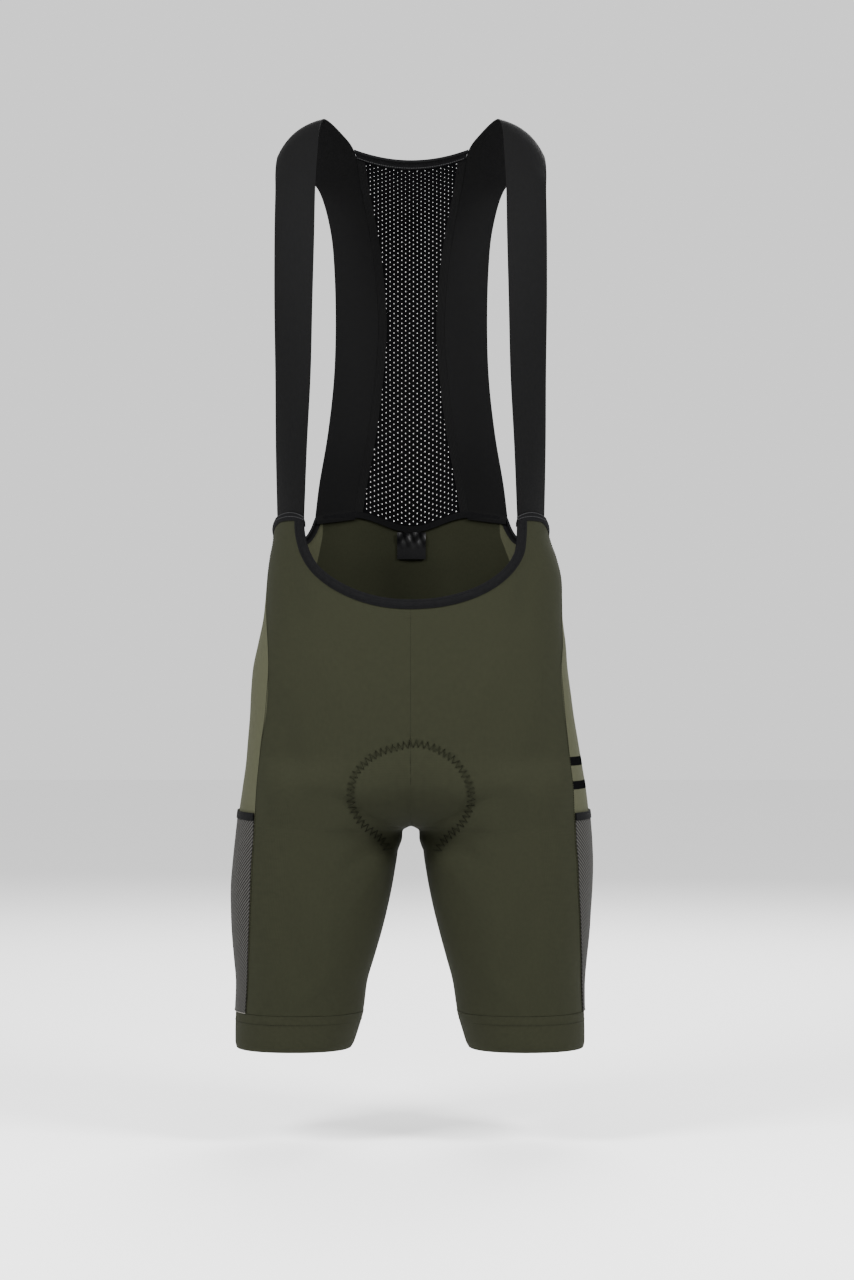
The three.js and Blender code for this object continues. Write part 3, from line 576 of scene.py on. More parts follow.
# Colour is the cloth's middle tone and spread the share its yarns differ from it.
CLOTH_COLUMNS = ("colour", "spread", "heather", "rough", "pitch", "pattern", "bump", "gloss")
CLOTH_TABLE = {
    "olive_knit": ((0.0128, 0.0136, 0.0074), 0.18, 0.08, 0.88, 0.55, "knit", 0.15, 0.07),
    # The next cloth is the olive knit painted about three times lighter: painted light for the
    # side panels.
    "light_olive_knit": ((0.0370, 0.0381, 0.0226), 0.18, 0.08, 0.88, 0.55, "knit", 0.15, 0.07),
    "olive_rib": ((0.0132, 0.0139, 0.0076), 0.26, 0.08, 0.88, 1.1, "rib", 0.45, 0.07),
    "grey_net": ((0.0225, 0.0219, 0.0204), 0.85, 0.10, 0.80, 1.5, "twill", 0.60, 0.07),
    "black_binding": ((0.0032, 0.0032, 0.0035), 0.35, 0.20, 0.80, 0.7, "knit", 0.25, 0.04),
    "black_elastic": ((0.0026, 0.0026, 0.0027), 0.32, 0.12, 0.75, 1.5, "rib", 0.35, 0.05),
    "black_mesh": ((0.0024, 0.0024, 0.0026), 0.30, 0.20, 0.80, 0.6, "knit", 0.20, 0.0),
    "black_satin": ((0.0036, 0.0036, 0.0040), 0.20, 0.10, 0.42, 0.4, "twill", 0.10, 0.12),
    "pad_foam": ((0.0300, 0.0330, 0.0380), 0.20, 0.15, 0.90, 1.0, "knit", 0.30, 0.07),
    "olive_thread": ((0.0062, 0.0065, 0.0038), 0.20, 0.10, 0.75, 0.3, "twill", 0.10, 0.05),
    "grey_thread": ((0.0300, 0.0300, 0.0306), 0.20, 0.10, 0.75, 0.3, "twill", 0.10, 0.05),
    "pale_thread": ((0.1500, 0.1450, 0.1300), 0.20, 0.10, 0.75, 0.3, "twill", 0.10, 0.05),
}
WAVE_TURN = 20
SECOND_PITCH = 1.3
YARN_DISTORTION = 0.5
YARN_DETAIL = 1.0
HEATHER_SCALE = 260.0
HEATHER_DETAIL = 4.0


def cloth_material(name):
    """Knitted or woven cloth: its yarn pattern lies in the piece's own UV map, in metres."""
    cloth = dict(zip(CLOTH_COLUMNS, CLOTH_TABLE[name]))
    made = bpy.data.materials.new(name)
    made.use_nodes = True
    nodes, links = made.node_tree.nodes, made.node_tree.links
    shader = nodes["Principled BSDF"]
    shader.inputs["Roughness"].default_value = cloth["rough"]
    shader.inputs["Specular IOR Level"].default_value = cloth["gloss"]
    uv = nodes.new("ShaderNodeUVMap")
    uv.uv_map = "cloth"
    pitch = cloth["pitch"] * MM

    def wave(direction, distance):
        node = nodes.new("ShaderNodeTexWave")
        node.bands_direction = direction
        node.inputs["Scale"].default_value = 2 * math.pi / (WAVE_TURN * distance)
        node.inputs["Distortion"].default_value = YARN_DISTORTION
        node.inputs["Detail"].default_value = YARN_DETAIL
        links.new(uv.outputs["UV"], node.inputs["Vector"])
        return node.outputs["Fac"]

    def maths(operation, *values):
        """Result of a maths node on sockets and plain numbers."""
        node = nodes.new("ShaderNodeMath")
        node.operation = operation
        for socket, value in zip(node.inputs, values):
            if isinstance(value, float):
                socket.default_value = value
            else:
                links.new(value, socket)
        return node.outputs["Value"]

    if cloth["pattern"] == "rib":
        level = wave("X", pitch)
    elif cloth["pattern"] == "twill":
        level = wave("DIAGONAL", pitch * SECOND_PITCH)
    else:
        both = maths("ADD", wave("X", pitch), wave("Y", pitch * SECOND_PITCH))
        level = maths("MULTIPLY", both, 0.5)
    heather = nodes.new("ShaderNodeTexNoise")
    heather.inputs["Scale"].default_value = HEATHER_SCALE
    heather.inputs["Detail"].default_value = HEATHER_DETAIL
    links.new(uv.outputs["UV"], heather.inputs["Vector"])
    share = cloth["heather"] / cloth["spread"]
    tone = maths("MULTIPLY_ADD", heather.outputs["Fac"], share * 2, level)
    ramp = nodes.new("ShaderNodeValToRGB")
    middle = Vector(cloth["colour"])
    low, high = ramp.color_ramp.elements
    low.position, high.position = 0.0, 1.0
    low.color = (*(middle * (1 - cloth["spread"])), 1)
    high.color = (*(middle * (1 + cloth["spread"])), 1)
    links.new(maths("SUBTRACT", tone, share), ramp.inputs["Fac"])
    links.new(ramp.outputs["Color"], shader.inputs["Base Color"])
    rise = nodes.new("ShaderNodeBump")
    rise.inputs["Strength"].default_value = cloth["bump"]
    rise.inputs["Distance"].default_value = pitch / 3
    links.new(level, rise.inputs["Height"])
    links.new(rise.outputs["Normal"], shader.inputs["Normal"])
    return made


MATERIALS = {}


def material(name):
    if name not in MATERIALS:
        MATERIALS[name] = cloth_material(name)
    return MATERIALS[name]


# Cloths whose sheets take the creases, and the angle above which an edge stays sharp.
RELIEF_CLOTHS = ("olive_knit", "light_olive_knit")
SHARP_ANGLE = 50
SIZE_STEPS = 8


def map_cloth(bm, place):
    """Lays the piece's UV map, in metres, from place(point) in millimetres."""
    layer = bm.loops.layers.uv.new("cloth")
    for face in bm.faces:
        for loop in face.loops:
            loop[layer].uv = place(loop.vert.co) * MM


def sheet_object(name, columns, rows, place, thickness, cloth, flip=False, lift=0.0, ring=False):
    """A cloth piece: a grid set to place(u, v) in millimetres, thickened about that surface."""
    bm = bmesh.new()
    bmesh.ops.create_grid(bm, x_segments=columns, y_segments=rows, size=0.5)
    bmesh.ops.translate(bm, verts=bm.verts, vec=(0.5, 0.5, 0))
    stops = [i / SIZE_STEPS for i in range(SIZE_STEPS + 1)]
    width = sum((place(b, 0.5) - place(a, 0.5)).length for a, b in zip(stops, stops[1:]))
    length = sum((place(0.5, b) - place(0.5, a)).length for a, b in zip(stops, stops[1:]))
    map_cloth(bm, lambda co: Vector((co.x * width, co.y * length)))
    for vert in bm.verts:
        vert.co = place(vert.co.x, vert.co.y)
    if ring:
        bmesh.ops.remove_doubles(bm, verts=bm.verts, dist=0.01)
    if flip:
        bmesh.ops.reverse_faces(bm, faces=bm.faces)
    bm.normal_update()
    if lift or not ring:
        normals = {vert: vert.normal.copy() for vert in bm.verts}
        for vert in bm.verts:
            height = lift + (relief(vert.co) if cloth in RELIEF_CLOTHS else 0.0)
            vert.co += normals[vert] * height
    return finish_piece(bm, name, cloth, thickness)


def finish_piece(bm, name, cloth, thickness=0.0):
    """Scales to metres, thickens evenly about the surface and makes the object."""
    if thickness:
        bm.normal_update()
        normals = {vert: vert.normal.copy() for vert in bm.verts}
        inner = {}
        for vert in bm.verts:
            vert.co += normals[vert] * (thickness / 2)
            inner[tuple(vert.co)] = vert.co - normals[vert] * thickness
        made = bmesh.ops.extrude_face_region(
            bm, geom=bm.faces[:] + bm.edges[:], use_keep_orig=True
        )
        for item in made["geom"]:
            if isinstance(item, bmesh.types.BMVert):
                item.co = inner[tuple(item.co)]
        bmesh.ops.recalc_face_normals(bm, faces=bm.faces[:])
    for vert in bm.verts:
        vert.co *= MM
    mesh = bpy.data.meshes.new(name)
    bm.to_mesh(mesh)
    bm.free()
    for polygon in mesh.polygons:
        polygon.use_smooth = True
    mesh.set_sharp_from_angle(angle=math.radians(SHARP_ANGLE))
    obj = bpy.data.objects.new(name, mesh)
    bpy.context.scene.collection.objects.link(obj)
    obj.data.materials.append(material(cloth))
    return obj


def declare(obj, node):
    """Hangs a piece on the root body and hides the CAD part it stands for."""
    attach(obj, "root")
    if node:
        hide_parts(node)
    return obj


def sheet_piece(name, node, cut, cloth, grid, place, thickness, side=1, **options):
    """A declared sheet of one cloth, mirrored for the wearer's right; grid is columns, rows."""
    obj = sheet_object(name, *grid, place, thickness, cloth, flip=side < 0, **options)
    return declare(obj, node)


THREAD_SIDES = 5


def finish_thread(bm, name, cloth):
    map_cloth(bm, lambda co: co.xz)
    return declare(finish_piece(bm, name, cloth), None)


def thread(name, points, radius, cloth):
    """One round thread through a list of points in millimetres."""
    bm = bmesh.new()
    rings = []
    for i, p in enumerate(points):
        ahead = points[min(i + 1, len(points) - 1)]
        behind = points[max(i - 1, 0)]
        turn = (ahead - behind).to_track_quat("Z", "Y").to_matrix().to_4x4()
        made = bmesh.ops.create_circle(
            bm, cap_ends=i in (0, len(points) - 1), segments=THREAD_SIDES, radius=radius,
            matrix=Matrix.Translation(p) @ turn,
        )
        rings.append(made["verts"])
    for pair in zip(rings, rings[1:]):
        edges = {e for ring in pair for v in ring for e in v.link_edges if e.other_vert(v) in ring}
        bmesh.ops.bridge_loops(bm, edges=list(edges))
    bmesh.ops.recalc_face_normals(bm, faces=bm.faces)
    return finish_thread(bm, name, cloth)


# Stitches: length, pitch, half thickness in millimetres, and their thread.
STITCH_TABLE = {
    "side_seam_stitches": (1.7, 2.4, 0.28, "olive_thread"),
    "centre_seam_stitches": (2.0, 2.6, 0.2, "olive_thread"),
    "neckline_stitches": (1.4, 2.5, 0.2, "black_binding"),
    "strap_base_stitches": (1.6, 2.4, 0.25, "grey_thread"),
    "hem_stitches": (1.6, 2.6, 0.22, "olive_thread"),
    "pocket_hem_stitches": (1.7, 2.3, 0.3, "pale_thread"),
}
SHORTEST_STEP = 1e-6


def stitches(name, lines):
    """Joined single stitches along lines of points in millimetres."""
    length, pitch, radius, cloth = STITCH_TABLE[name]
    bm = bmesh.new()
    for points in lines:
        spare = 0.0
        for a, b in zip(points, points[1:]):
            step = b - a
            reach = step.length
            if reach < SHORTEST_STEP:
                continue
            turn = step.to_track_quat("X", "Z").to_matrix().to_4x4()
            while spare < reach:
                bmesh.ops.create_cube(
                    bm, size=1.0,
                    matrix=Matrix.Translation(a + step * (spare / reach)) @ turn
                    @ Matrix.Diagonal((length, 2 * radius, 2 * radius, 1)),
                )
                spare += pitch
            spare -= reach
    return finish_thread(bm, name, cloth)


LEG_MIDDLE_X = 88
SIDEWAYS_SHARE = 0.35


def outward(p, height):
    """A body point moved out from the surface, by its position round the middle of its leg."""
    middle_x = LEG_MIDDLE_X * (1 if p.x > 0 else -1) if p.z < CROTCH else 0
    out = Vector(((p.x - middle_x) * SIDEWAYS_SHARE, p.y, 0))
    return p + out.normalized() * height


def line_of(steps, point):
    return [point(i / steps) for i in range(steps + 1)]


SIDES = ((1, "left"), (-1, "right"))


class BibSettings(bpy.types.PropertyGroup):
    wall: bpy.props.FloatProperty(
        name="Cloth thickness", description="Thickness of the knitted panels",
        default=1.2, min=0.5, max=3, subtype="UNSIGNED",
    )
    strap_wall: bpy.props.FloatProperty(
        name="Strap thickness", description="Thickness of the elastic straps", default=1.4,
        min=0.5, max=3,
    )
    binding_wall: bpy.props.FloatProperty(
        name="Binding thickness", description="Thickness of the folded bindings", default=2.6,
        min=1, max=4,
    )
    net_margin: bpy.props.FloatProperty(
        name="Net margin", description="Cloth left round each hole of the back mesh",
        default=1.92, min=0.5, max=2,
    )


# Half of the gap that is left open at a seam, in millimetres.
SEAM_HALF = 0.15

# Rows of the panels counted from the hem seam, and the level each stands at.
PANEL_ROWS = 102
LEVEL_STOPS = (
    (0, HEM_SEAM + SEAM_HALF), (34, -720), (43, CROTCH), (59, FORK_TOP), (76, PATTERN_TOP),
)
ROW_ROUNDING = 1e-6
PANEL_COLUMNS = {"front": 56, "side": 24, "back": 40}
# The side panels take the olive knit painted lighter, which paints the light that falls on the
# sides.
PANEL_CLOTHS = {"front": "olive_knit", "side": "light_olive_knit", "back": "olive_knit"}


def level_at(v, top):
    """Level of a panel's row at v from 0 to 1, below a top edge at this height."""
    row = v * PANEL_ROWS
    stops = (*LEVEL_STOPS, (PANEL_ROWS, top - SEAM_HALF))
    for (row_a, level_a), (row_b, level_b) in zip(stops, stops[1:]):
        if row <= row_b + ROW_ROUNDING:
            return mix(level_a, level_b, (row - row_a) / (row_b - row_a))
    return top


class BIB_OT_panels(bpy.types.Operator):
    """Front, side and back panels of both legs"""

    bl_idname = "bib.panels"
    bl_label = "Panels"

    def execute(self, context):
        wall = context.scene.bib_settings.wall
        for side, word in SIDES:
            shares = front_shares(side, PANEL_COLUMNS["front"])
            for kind, columns in PANEL_COLUMNS.items():
                tops = {}

                def place(u, v, side=side, shares=shares, kind=kind, tops=tops):
                    share = shares[round(u * (len(shares) - 1))] if kind == "front" else u
                    if share not in tops:
                        tops[share] = TOPS[kind](side, share)
                    return panel_point(kind, side, share, level_at(v, tops[share]))

                sheet_piece(
                    f"{kind}_panel_{word}_cloth", f"{kind}_panel_{word}", kind,
                    PANEL_CLOTHS[kind], (columns, PANEL_ROWS), place, wall, side,
                )
        return {"FINISHED"}


HEM_GRID = (128, 14)
HEM_WALL = 2.0
HEM_TUCK = 1.2
HEM_TUCK_HEIGHT = 2.5


class BIB_OT_hem_bands(bpy.types.Operator):
    """Ribbed gripper band of each leg"""

    bl_idname = "bib.hem_bands"
    bl_label = "Hem bands"

    def execute(self, context):
        for side, word in SIDES:

            def place(u, v, side=side):
                level = mix(HEM_EDGE, HEM_SEAM - SEAM_HALF, v)
                tuck = HEM_TUCK * math.exp(-(((level - HEM_EDGE) / HEM_TUCK_HEIGHT) ** 2))
                p = panel_point("ring", side, u, level)
                inseam, outside = (panel_point("ring", side, at, level) for at in (0, 0.5))
                return p + (outside.lerp(inseam, 0.5) - p).normalized() * tuck

            sheet_piece(
                f"hem_band_{word}_cloth", f"hem_band_{word}", "hem_band", "olive_rib",
                HEM_GRID, place, HEM_WALL, side, ring=True,
            )
        return {"FINISHED"}


# Pocket pieces: kind, last word, cloth, rows, wall, lift off the leg, lower and upper edge.
POCKET_COLUMNS = 40
POCKET_EDGE_SHARE = 0.004
POCKET_PIECES = (
    ("pocket", "net", "grey_net", 48, 0.8, 1.6, HEM_SEAM + 0.3, POCKET_TOP - 0.2),
    (
        "pocket_binding", "band", "black_binding", 4, 1.4, 2.0, POCKET_TOP + 0.2,
        POCKET_BINDING_TOP,
    ),
)


class BIB_OT_pockets(bpy.types.Operator):
    """Net thigh pockets and their bindings"""

    bl_idname = "bib.pockets"
    bl_label = "Pockets"

    def execute(self, context):
        for side, word in SIDES:
            for kind, last, cloth, rows, wall, lift, low, high in POCKET_PIECES:

                def place(u, v, side=side, low=low, high=high):
                    share = mix(POCKET_EDGE_SHARE, 1 - POCKET_EDGE_SHARE, u)
                    return panel_point("side", side, share, mix(low, high, v))

                sheet_piece(
                    f"{kind}_{word}_{last}", f"{kind}_{word}", kind, cloth,
                    (POCKET_COLUMNS, rows), place, wall, side, lift=lift,
                )
        return {"FINISHED"}


STRAP_COLUMN_COUNT = 10
STRAP_ROWS = 188
TUCK_ROWS = 4
TUCK_INWARD = 1.5
TUCK_DROP = 8
PEAK_BAND_GRID = (24, 6)
PEAK_BAND_WALL = 1.2
PEAK_BAND_INNER_X = 103.6
PEAK_BAND_OUTER_X = 132.6
PEAK_BAND_FOOT = -0.6
PEAK_BAND_FOOT_BEND = 1.5
PEAK_BAND_HEAD = 1.2
PEAK_BAND_HEAD_BEND = 6.6
PEAK_BAND_LIFT = 1.1
PEAK_BAND_CROWN = 0.8
PEAK_ARCH_END_SHARE = 0.04
PEAK_ARCH_POWER = 0.7


class BIB_OT_straps(bpy.types.Operator):
    """Elastic straps that run on as the sides of the back yoke"""

    bl_idname = "bib.straps"
    bl_label = "Straps"

    def execute(self, context):
        settings = context.scene.bib_settings
        for side, word in SIDES:

            def place(u, v, side=side):
                row = v * STRAP_ROWS
                station = (row - TUCK_ROWS) / (STRAP_ROWS - 2 * TUCK_ROWS) * YOKE_END_STATION
                p = strap_point(side, min(YOKE_END_STATION, max(0, station)), u)
                tuck = max(TUCK_ROWS - row, row - STRAP_ROWS + TUCK_ROWS, 0) / TUCK_ROWS
                inward = Vector((-p.x, -p.y, 0)).normalized()
                drop = Vector((0, 0, TUCK_DROP * tuck))
                return p + inward * (TUCK_INWARD * smooth(2 * tuck)) - drop

            def band(u, v, side=side):
                arch = math.sin(math.pi * mix(PEAK_ARCH_END_SHARE, 1 - PEAK_ARCH_END_SHARE, u))
                low = PEAK_TOP + PEAK_BAND_FOOT - PEAK_BAND_FOOT_BEND * (1 - arch)
                high = PEAK_TOP + PEAK_BAND_HEAD + PEAK_BAND_HEAD_BEND * arch ** PEAK_ARCH_POWER
                row = body_row(side, mix(low, high, v))
                p = point_along(row, reach_of(row, mix(PEAK_BAND_INNER_X, PEAK_BAND_OUTER_X, u)))
                return outward(p, PEAK_BAND_LIFT + PEAK_BAND_CROWN * math.sin(math.pi * v))

            sheet_piece(
                f"strap_{word}_elastic", f"strap_{word}", "strap", "black_elastic",
                (STRAP_COLUMN_COUNT, STRAP_ROWS), place, settings.strap_wall, side,
            )
            sheet_piece(
                f"peak_band_{word}_cloth", None, "peak_band", "black_binding",
                PEAK_BAND_GRID, band, PEAK_BAND_WALL, side,
            )
        return {"FINISHED"}


# The back mesh is drawn flat, in millimetres, and then laid between the straps.
NET_HEIGHT = 380.0
NET_HALF_WIDTH = 60.0
NET_PITCH_X = 4.0
NET_PITCH_Z = 5.2
NET_BORDER = 4.5
NET_WALL = 0.7
NET_STATION_STEPS = 240
YOKE_SEAM_GRID = (6, 120)
YOKE_SEAM_WALL = 2.0
YOKE_SEAM_WIDTH = 8.5


def net_grid():
    """A flat grid of staggered six-sided cells."""
    columns = round(2 * NET_HALF_WIDTH / NET_PITCH_X)
    rows = 2 * round(NET_HEIGHT / NET_PITCH_Z)
    bm = bmesh.new()
    bmesh.ops.create_grid(
        bm, x_segments=columns, y_segments=rows, size=0.5,
        matrix=Matrix.Diagonal((2 * NET_HALF_WIDTH, NET_HEIGHT, 1, 1)),
    )

    def cell_of(x, y):
        i = round((x + NET_HALF_WIDTH) / (2 * NET_HALF_WIDTH) * columns)
        return i, round((y / NET_HEIGHT + 0.5) * rows)

    merged = []
    for edge in bm.edges:
        a, b = (vert.co for vert in edge.verts)
        i, j = cell_of(min(a.x, b.x), a.y)
        if abs(a.y - b.y) < NET_PITCH_Z / 4 and 0 < j < rows and (i + j) % 2:
            merged.append(edge)
    bmesh.ops.dissolve_edges(bm, edges=merged, use_verts=False)
    for vert in bm.verts:
        i, j = cell_of(vert.co.x, vert.co.y)
        if 0 < j < rows:
            vert.co.x += NET_PITCH_X / 6 * (-1 if (i + j) % 2 else 1)
    return bm


def net_station_finder():
    """A function from height on the flat mesh, 0 to 1, to the strap station beside it."""
    stations = [
        mix(MESH_TOP_STATION, YOKE_END_STATION, k / NET_STATION_STEPS)
        for k in range(NET_STATION_STEPS + 1)
    ]
    places = [strap_point(1, station, 0) for station in stations]
    lengths = [0.0]
    for a, b in zip(places, places[1:]):
        lengths.append(lengths[-1] + math.hypot(a.y - b.y, a.z - b.z))

    def station_at(t):
        d = (1 - t) * lengths[-1]
        k = 0
        while k < NET_STATION_STEPS - 1 and lengths[k + 1] < d:
            k += 1
        share = (d - lengths[k]) / (lengths[k + 1] - lengths[k])
        return mix(stations[k], stations[k + 1], min(1.0, max(0.0, share)))

    return station_at


class BIB_OT_back_mesh(bpy.types.Operator):
    """Open net of the back yoke, its holes cut through, and the yoke's seams"""

    bl_idname = "bib.back_mesh"
    bl_label = "Back mesh"

    def execute(self, context):
        settings = context.scene.bib_settings
        station_at = net_station_finder()
        known = {}

        def beside(y):
            """Strap station and half width of the mesh at a height on the flat mesh."""
            t = round(min(1.0, max(0.0, y / NET_HEIGHT + 0.5)), 5)
            if t not in known:
                station = station_at(t)
                known[t] = (station, strap_point(1, station, 0).x)
            return known[t]

        bm = net_grid()

        def is_outside(face):
            middle = face.calc_center_median()
            return abs(middle.x) > beside(middle.y)[1] - NET_BORDER

        bmesh.ops.delete(
            bm, geom=[face for face in bm.faces if is_outside(face)], context="FACES"
        )
        bmesh.ops.inset_individual(
            bm, faces=[face for face in bm.faces if len(face.verts) == 6],
            thickness=settings.net_margin, depth=0.0, use_even_offset=True,
        )
        holes = [face for face in bm.faces if len(face.verts) == 6]
        bmesh.ops.delete(bm, geom=holes, context="FACES")
        map_cloth(bm, lambda co: co.xy)
        for vert in bm.verts:
            station, edge_x = beside(vert.co.y)
            vert.co = back_point(station, vert.co.x / edge_x)
        bmesh.ops.reverse_faces(bm, faces=bm.faces)
        obj = finish_piece(bm, "back_mesh_net", "black_mesh", NET_WALL)
        declare(obj, "back_mesh")
        for side, word in SIDES:

            def place(u, v, side=side):
                station = mix(MESH_TOP_STATION, YOKE_END_STATION, v)
                edge_x = strap_point(1, station, 0).x
                return back_point(station, side * (edge_x - mix(YOKE_SEAM_WIDTH, 0.0, u)) / edge_x)

            sheet_piece(
                f"yoke_seam_{word}_band", None, "yoke_seam", "black_elastic",
                YOKE_SEAM_GRID, place, YOKE_SEAM_WALL, side,
            )
        return {"FINISHED"}


# Bindings and tape: how far each laps over the edge it closes, its width and its lift.
EDGE_LAP = -0.6
NECK_BINDING_WIDTH = 8
NECK_BINDING_GRID = (120, 6)
ARM_BINDING_LAP = -0.2
ARM_BINDING_WIDTHS = (5, 7)
ARM_BINDING_GRID = (60, 6)
SLOPE_STEP = 0.01
BACK_TOP_STATIONS = (MESH_TOP_STATION - 0.01, MESH_TOP_STATION - 0.3)
BACK_TOP_SHARE = 0.995
BACK_TOP_GRID = (48, 6)
TAPE_HALF_LENGTH = 91
TAPE_EDGES = (-5.6, 0.8)
TAPE_INWARD = 2.2
TAPE_WALL = 1.2
TAPE_GRID = (72, 4)
LABEL_HALF_WIDTH = 14.6
LABEL_FOOT = -437
LABEL_HEAD = -409.5
LABEL_FOLD = -428
LABEL_GATHER_HEIGHT = 16
LABEL_INWARD = 3.2
LABEL_WALL = 0.5
LABEL_GRID = (40, 36)


def inside_back_point(x, z):
    """Point of the back cloth seen from inside at x and z."""
    row = body_row(-1 if x < 0 else 1, z)
    return Vector((x, point_along(row, reach_of(row, abs(x), True)).y, z))


class BIB_OT_bindings(bpy.types.Operator):
    """Neckline, armhole and back top bindings, the waist seam tape and the label"""

    bl_idname = "bib.bindings"
    bl_label = "Bindings"

    def execute(self, context):
        wall = context.scene.bib_settings.binding_wall

        def scoop(u, v):
            p = neckline_point(mix(-1, 1, u), mix(EDGE_LAP, NECK_BINDING_WIDTH, v))
            return p + Vector((0, -math.sin(math.pi * v), 0))

        sheet_piece(
            "neckline_binding_band", "neckline_binding", "neckline_binding",
            "black_binding", NECK_BINDING_GRID, scoop, wall,
        )
        for side, word in SIDES:
            _, start, end = armhole_span(side)

            def arm(u, v, side=side, span=end - start):
                rise = armhole_z(u + SLOPE_STEP) - armhole_z(u - SLOPE_STEP)
                slope = rise / (2 * SLOPE_STEP * span)
                width = mix(*ARM_BINDING_WIDTHS, smooth(u * 4))
                lift = mix(ARM_BINDING_LAP, width, v) / math.hypot(1, slope)
                row = body_row(side, armhole_z(u) + lift)
                front = reach_of(row, PEAK_OUTER_X)
                back = reach_of(row, YOKE_CORNER_X, True)
                p = point_along(row, mix(front, back, u) - lift * slope)
                return outward(p, math.sin(math.pi * v))

            sheet_piece(
                f"armhole_binding_{word}_band", f"armhole_binding_{word}",
                "armhole_binding", "black_binding", ARM_BINDING_GRID, arm, wall, side,
            )

        def neck(u, v):
            share = mix(BACK_TOP_SHARE, -BACK_TOP_SHARE, u)
            p = back_point(mix(*BACK_TOP_STATIONS, v), share)
            return p + Vector((0, 1, 1)).normalized() * math.sin(math.pi * v)

        sheet_piece(
            "back_top_binding_band", "back_top_binding", "back_top_binding",
            "black_binding", BACK_TOP_GRID, neck, wall,
        )

        def tape(u, v):
            x = mix(TAPE_HALF_LENGTH, -TAPE_HALF_LENGTH, u)
            p = inside_back_point(x, waist_seam_z(abs(x)) + mix(*TAPE_EDGES, v))
            return p + Vector((-p.x * 0.4, -p.y, 0)).normalized() * TAPE_INWARD

        sheet_piece(
            "waist_tape_band", "waist_tape", "waist_tape", "black_binding", TAPE_GRID,
            tape, TAPE_WALL,
        )

        def tag(u, v):
            x = mix(LABEL_HALF_WIDTH, -LABEL_HALF_WIDTH, u)
            z = mix(LABEL_FOOT, LABEL_HEAD, v)
            gather = smooth((z - LABEL_FOLD) / LABEL_GATHER_HEIGHT)
            crumple = 1.1 * math.sin(x * 0.75 + z * 0.2) + 0.7 * math.sin(x * 0.4 - z * 0.35)
            hang = 0.5 * math.sin(x * 0.22 + 1.2)
            inward = LABEL_INWARD + mix(hang, crumple, gather)
            return inside_back_point(x, z) - Vector((0, inward, 0))

        sheet_piece(
            "label_satin", "label", "label", "black_satin", LABEL_GRID, tag, LABEL_WALL
        )
        return {"FINISHED"}


PAD_MERGE = 1e-5
PAD_SMOOTHING = 0.15


class BIB_OT_pad(bpy.types.Operator):
    """Chamois pad inside the crotch"""

    bl_idname = "bib.pad"
    bl_label = "Pad"

    def execute(self, context):
        node = bpy.data.objects.get("chamois")
        if node is None:
            raise RuntimeError("the chamois solid is missing")
        bm = bmesh.new()
        bm.from_mesh(node.data)
        bmesh.ops.transform(bm, matrix=node.matrix_world, verts=bm.verts)
        bmesh.ops.remove_doubles(bm, verts=bm.verts, dist=PAD_MERGE)
        bmesh.ops.smooth_vert(
            bm, verts=bm.verts, factor=PAD_SMOOTHING, use_axis_x=True, use_axis_y=True,
            use_axis_z=True,
        )
        for vert in bm.verts:
            vert.co /= MM
        map_cloth(bm, lambda co: co.xy)
        obj = finish_piece(bm, "chamois_pad", "pad_foam")
        declare(obj, "chamois")
        return {"FINISHED"}


# Zigzag of the pad's seam and the places of the stitch lines, in millimetres.
ZIGZAG_PITCH = 5.6
ZIGZAG_WIDTH = 7.5
ZIGZAG_RADIUS = 0.42
ZIGZAG_LIFT = 1.05
SEAM_LIFT = 0.75
CENTRE_LIFT = 0.45
NECK_STITCH_INSETS = (1.5, 6.5)
BASE_STITCH_ARCHES = ((-1.2, 4.6), (0.6, 6.6))
HEM_STITCH_LEVEL = HEM_SEAM - 9
POCKET_STITCH_LEVEL = HEM_SEAM + 0.6


def zigzag(points, pitch, width):
    """Teeth along a line of (x, z) points on the front, as points on the cloth."""
    teeth, spare = [], 0.0
    for (ax, az), (bx, bz) in zip(points, points[1:]):
        reach = math.hypot(bx - ax, bz - az)
        nx, nz = -(bz - az) / reach, (bx - ax) / reach
        while spare < reach:
            t = spare / reach
            sway = width / 2 * (1 if len(teeth) % 2 else -1)
            p = front_point(mix(ax, bx, t) + nx * sway, mix(az, bz, t) + nz * sway)
            teeth.append(outward(p, ZIGZAG_LIFT + relief(p)))
            spare += pitch / 2
        spare -= reach
    return teeth


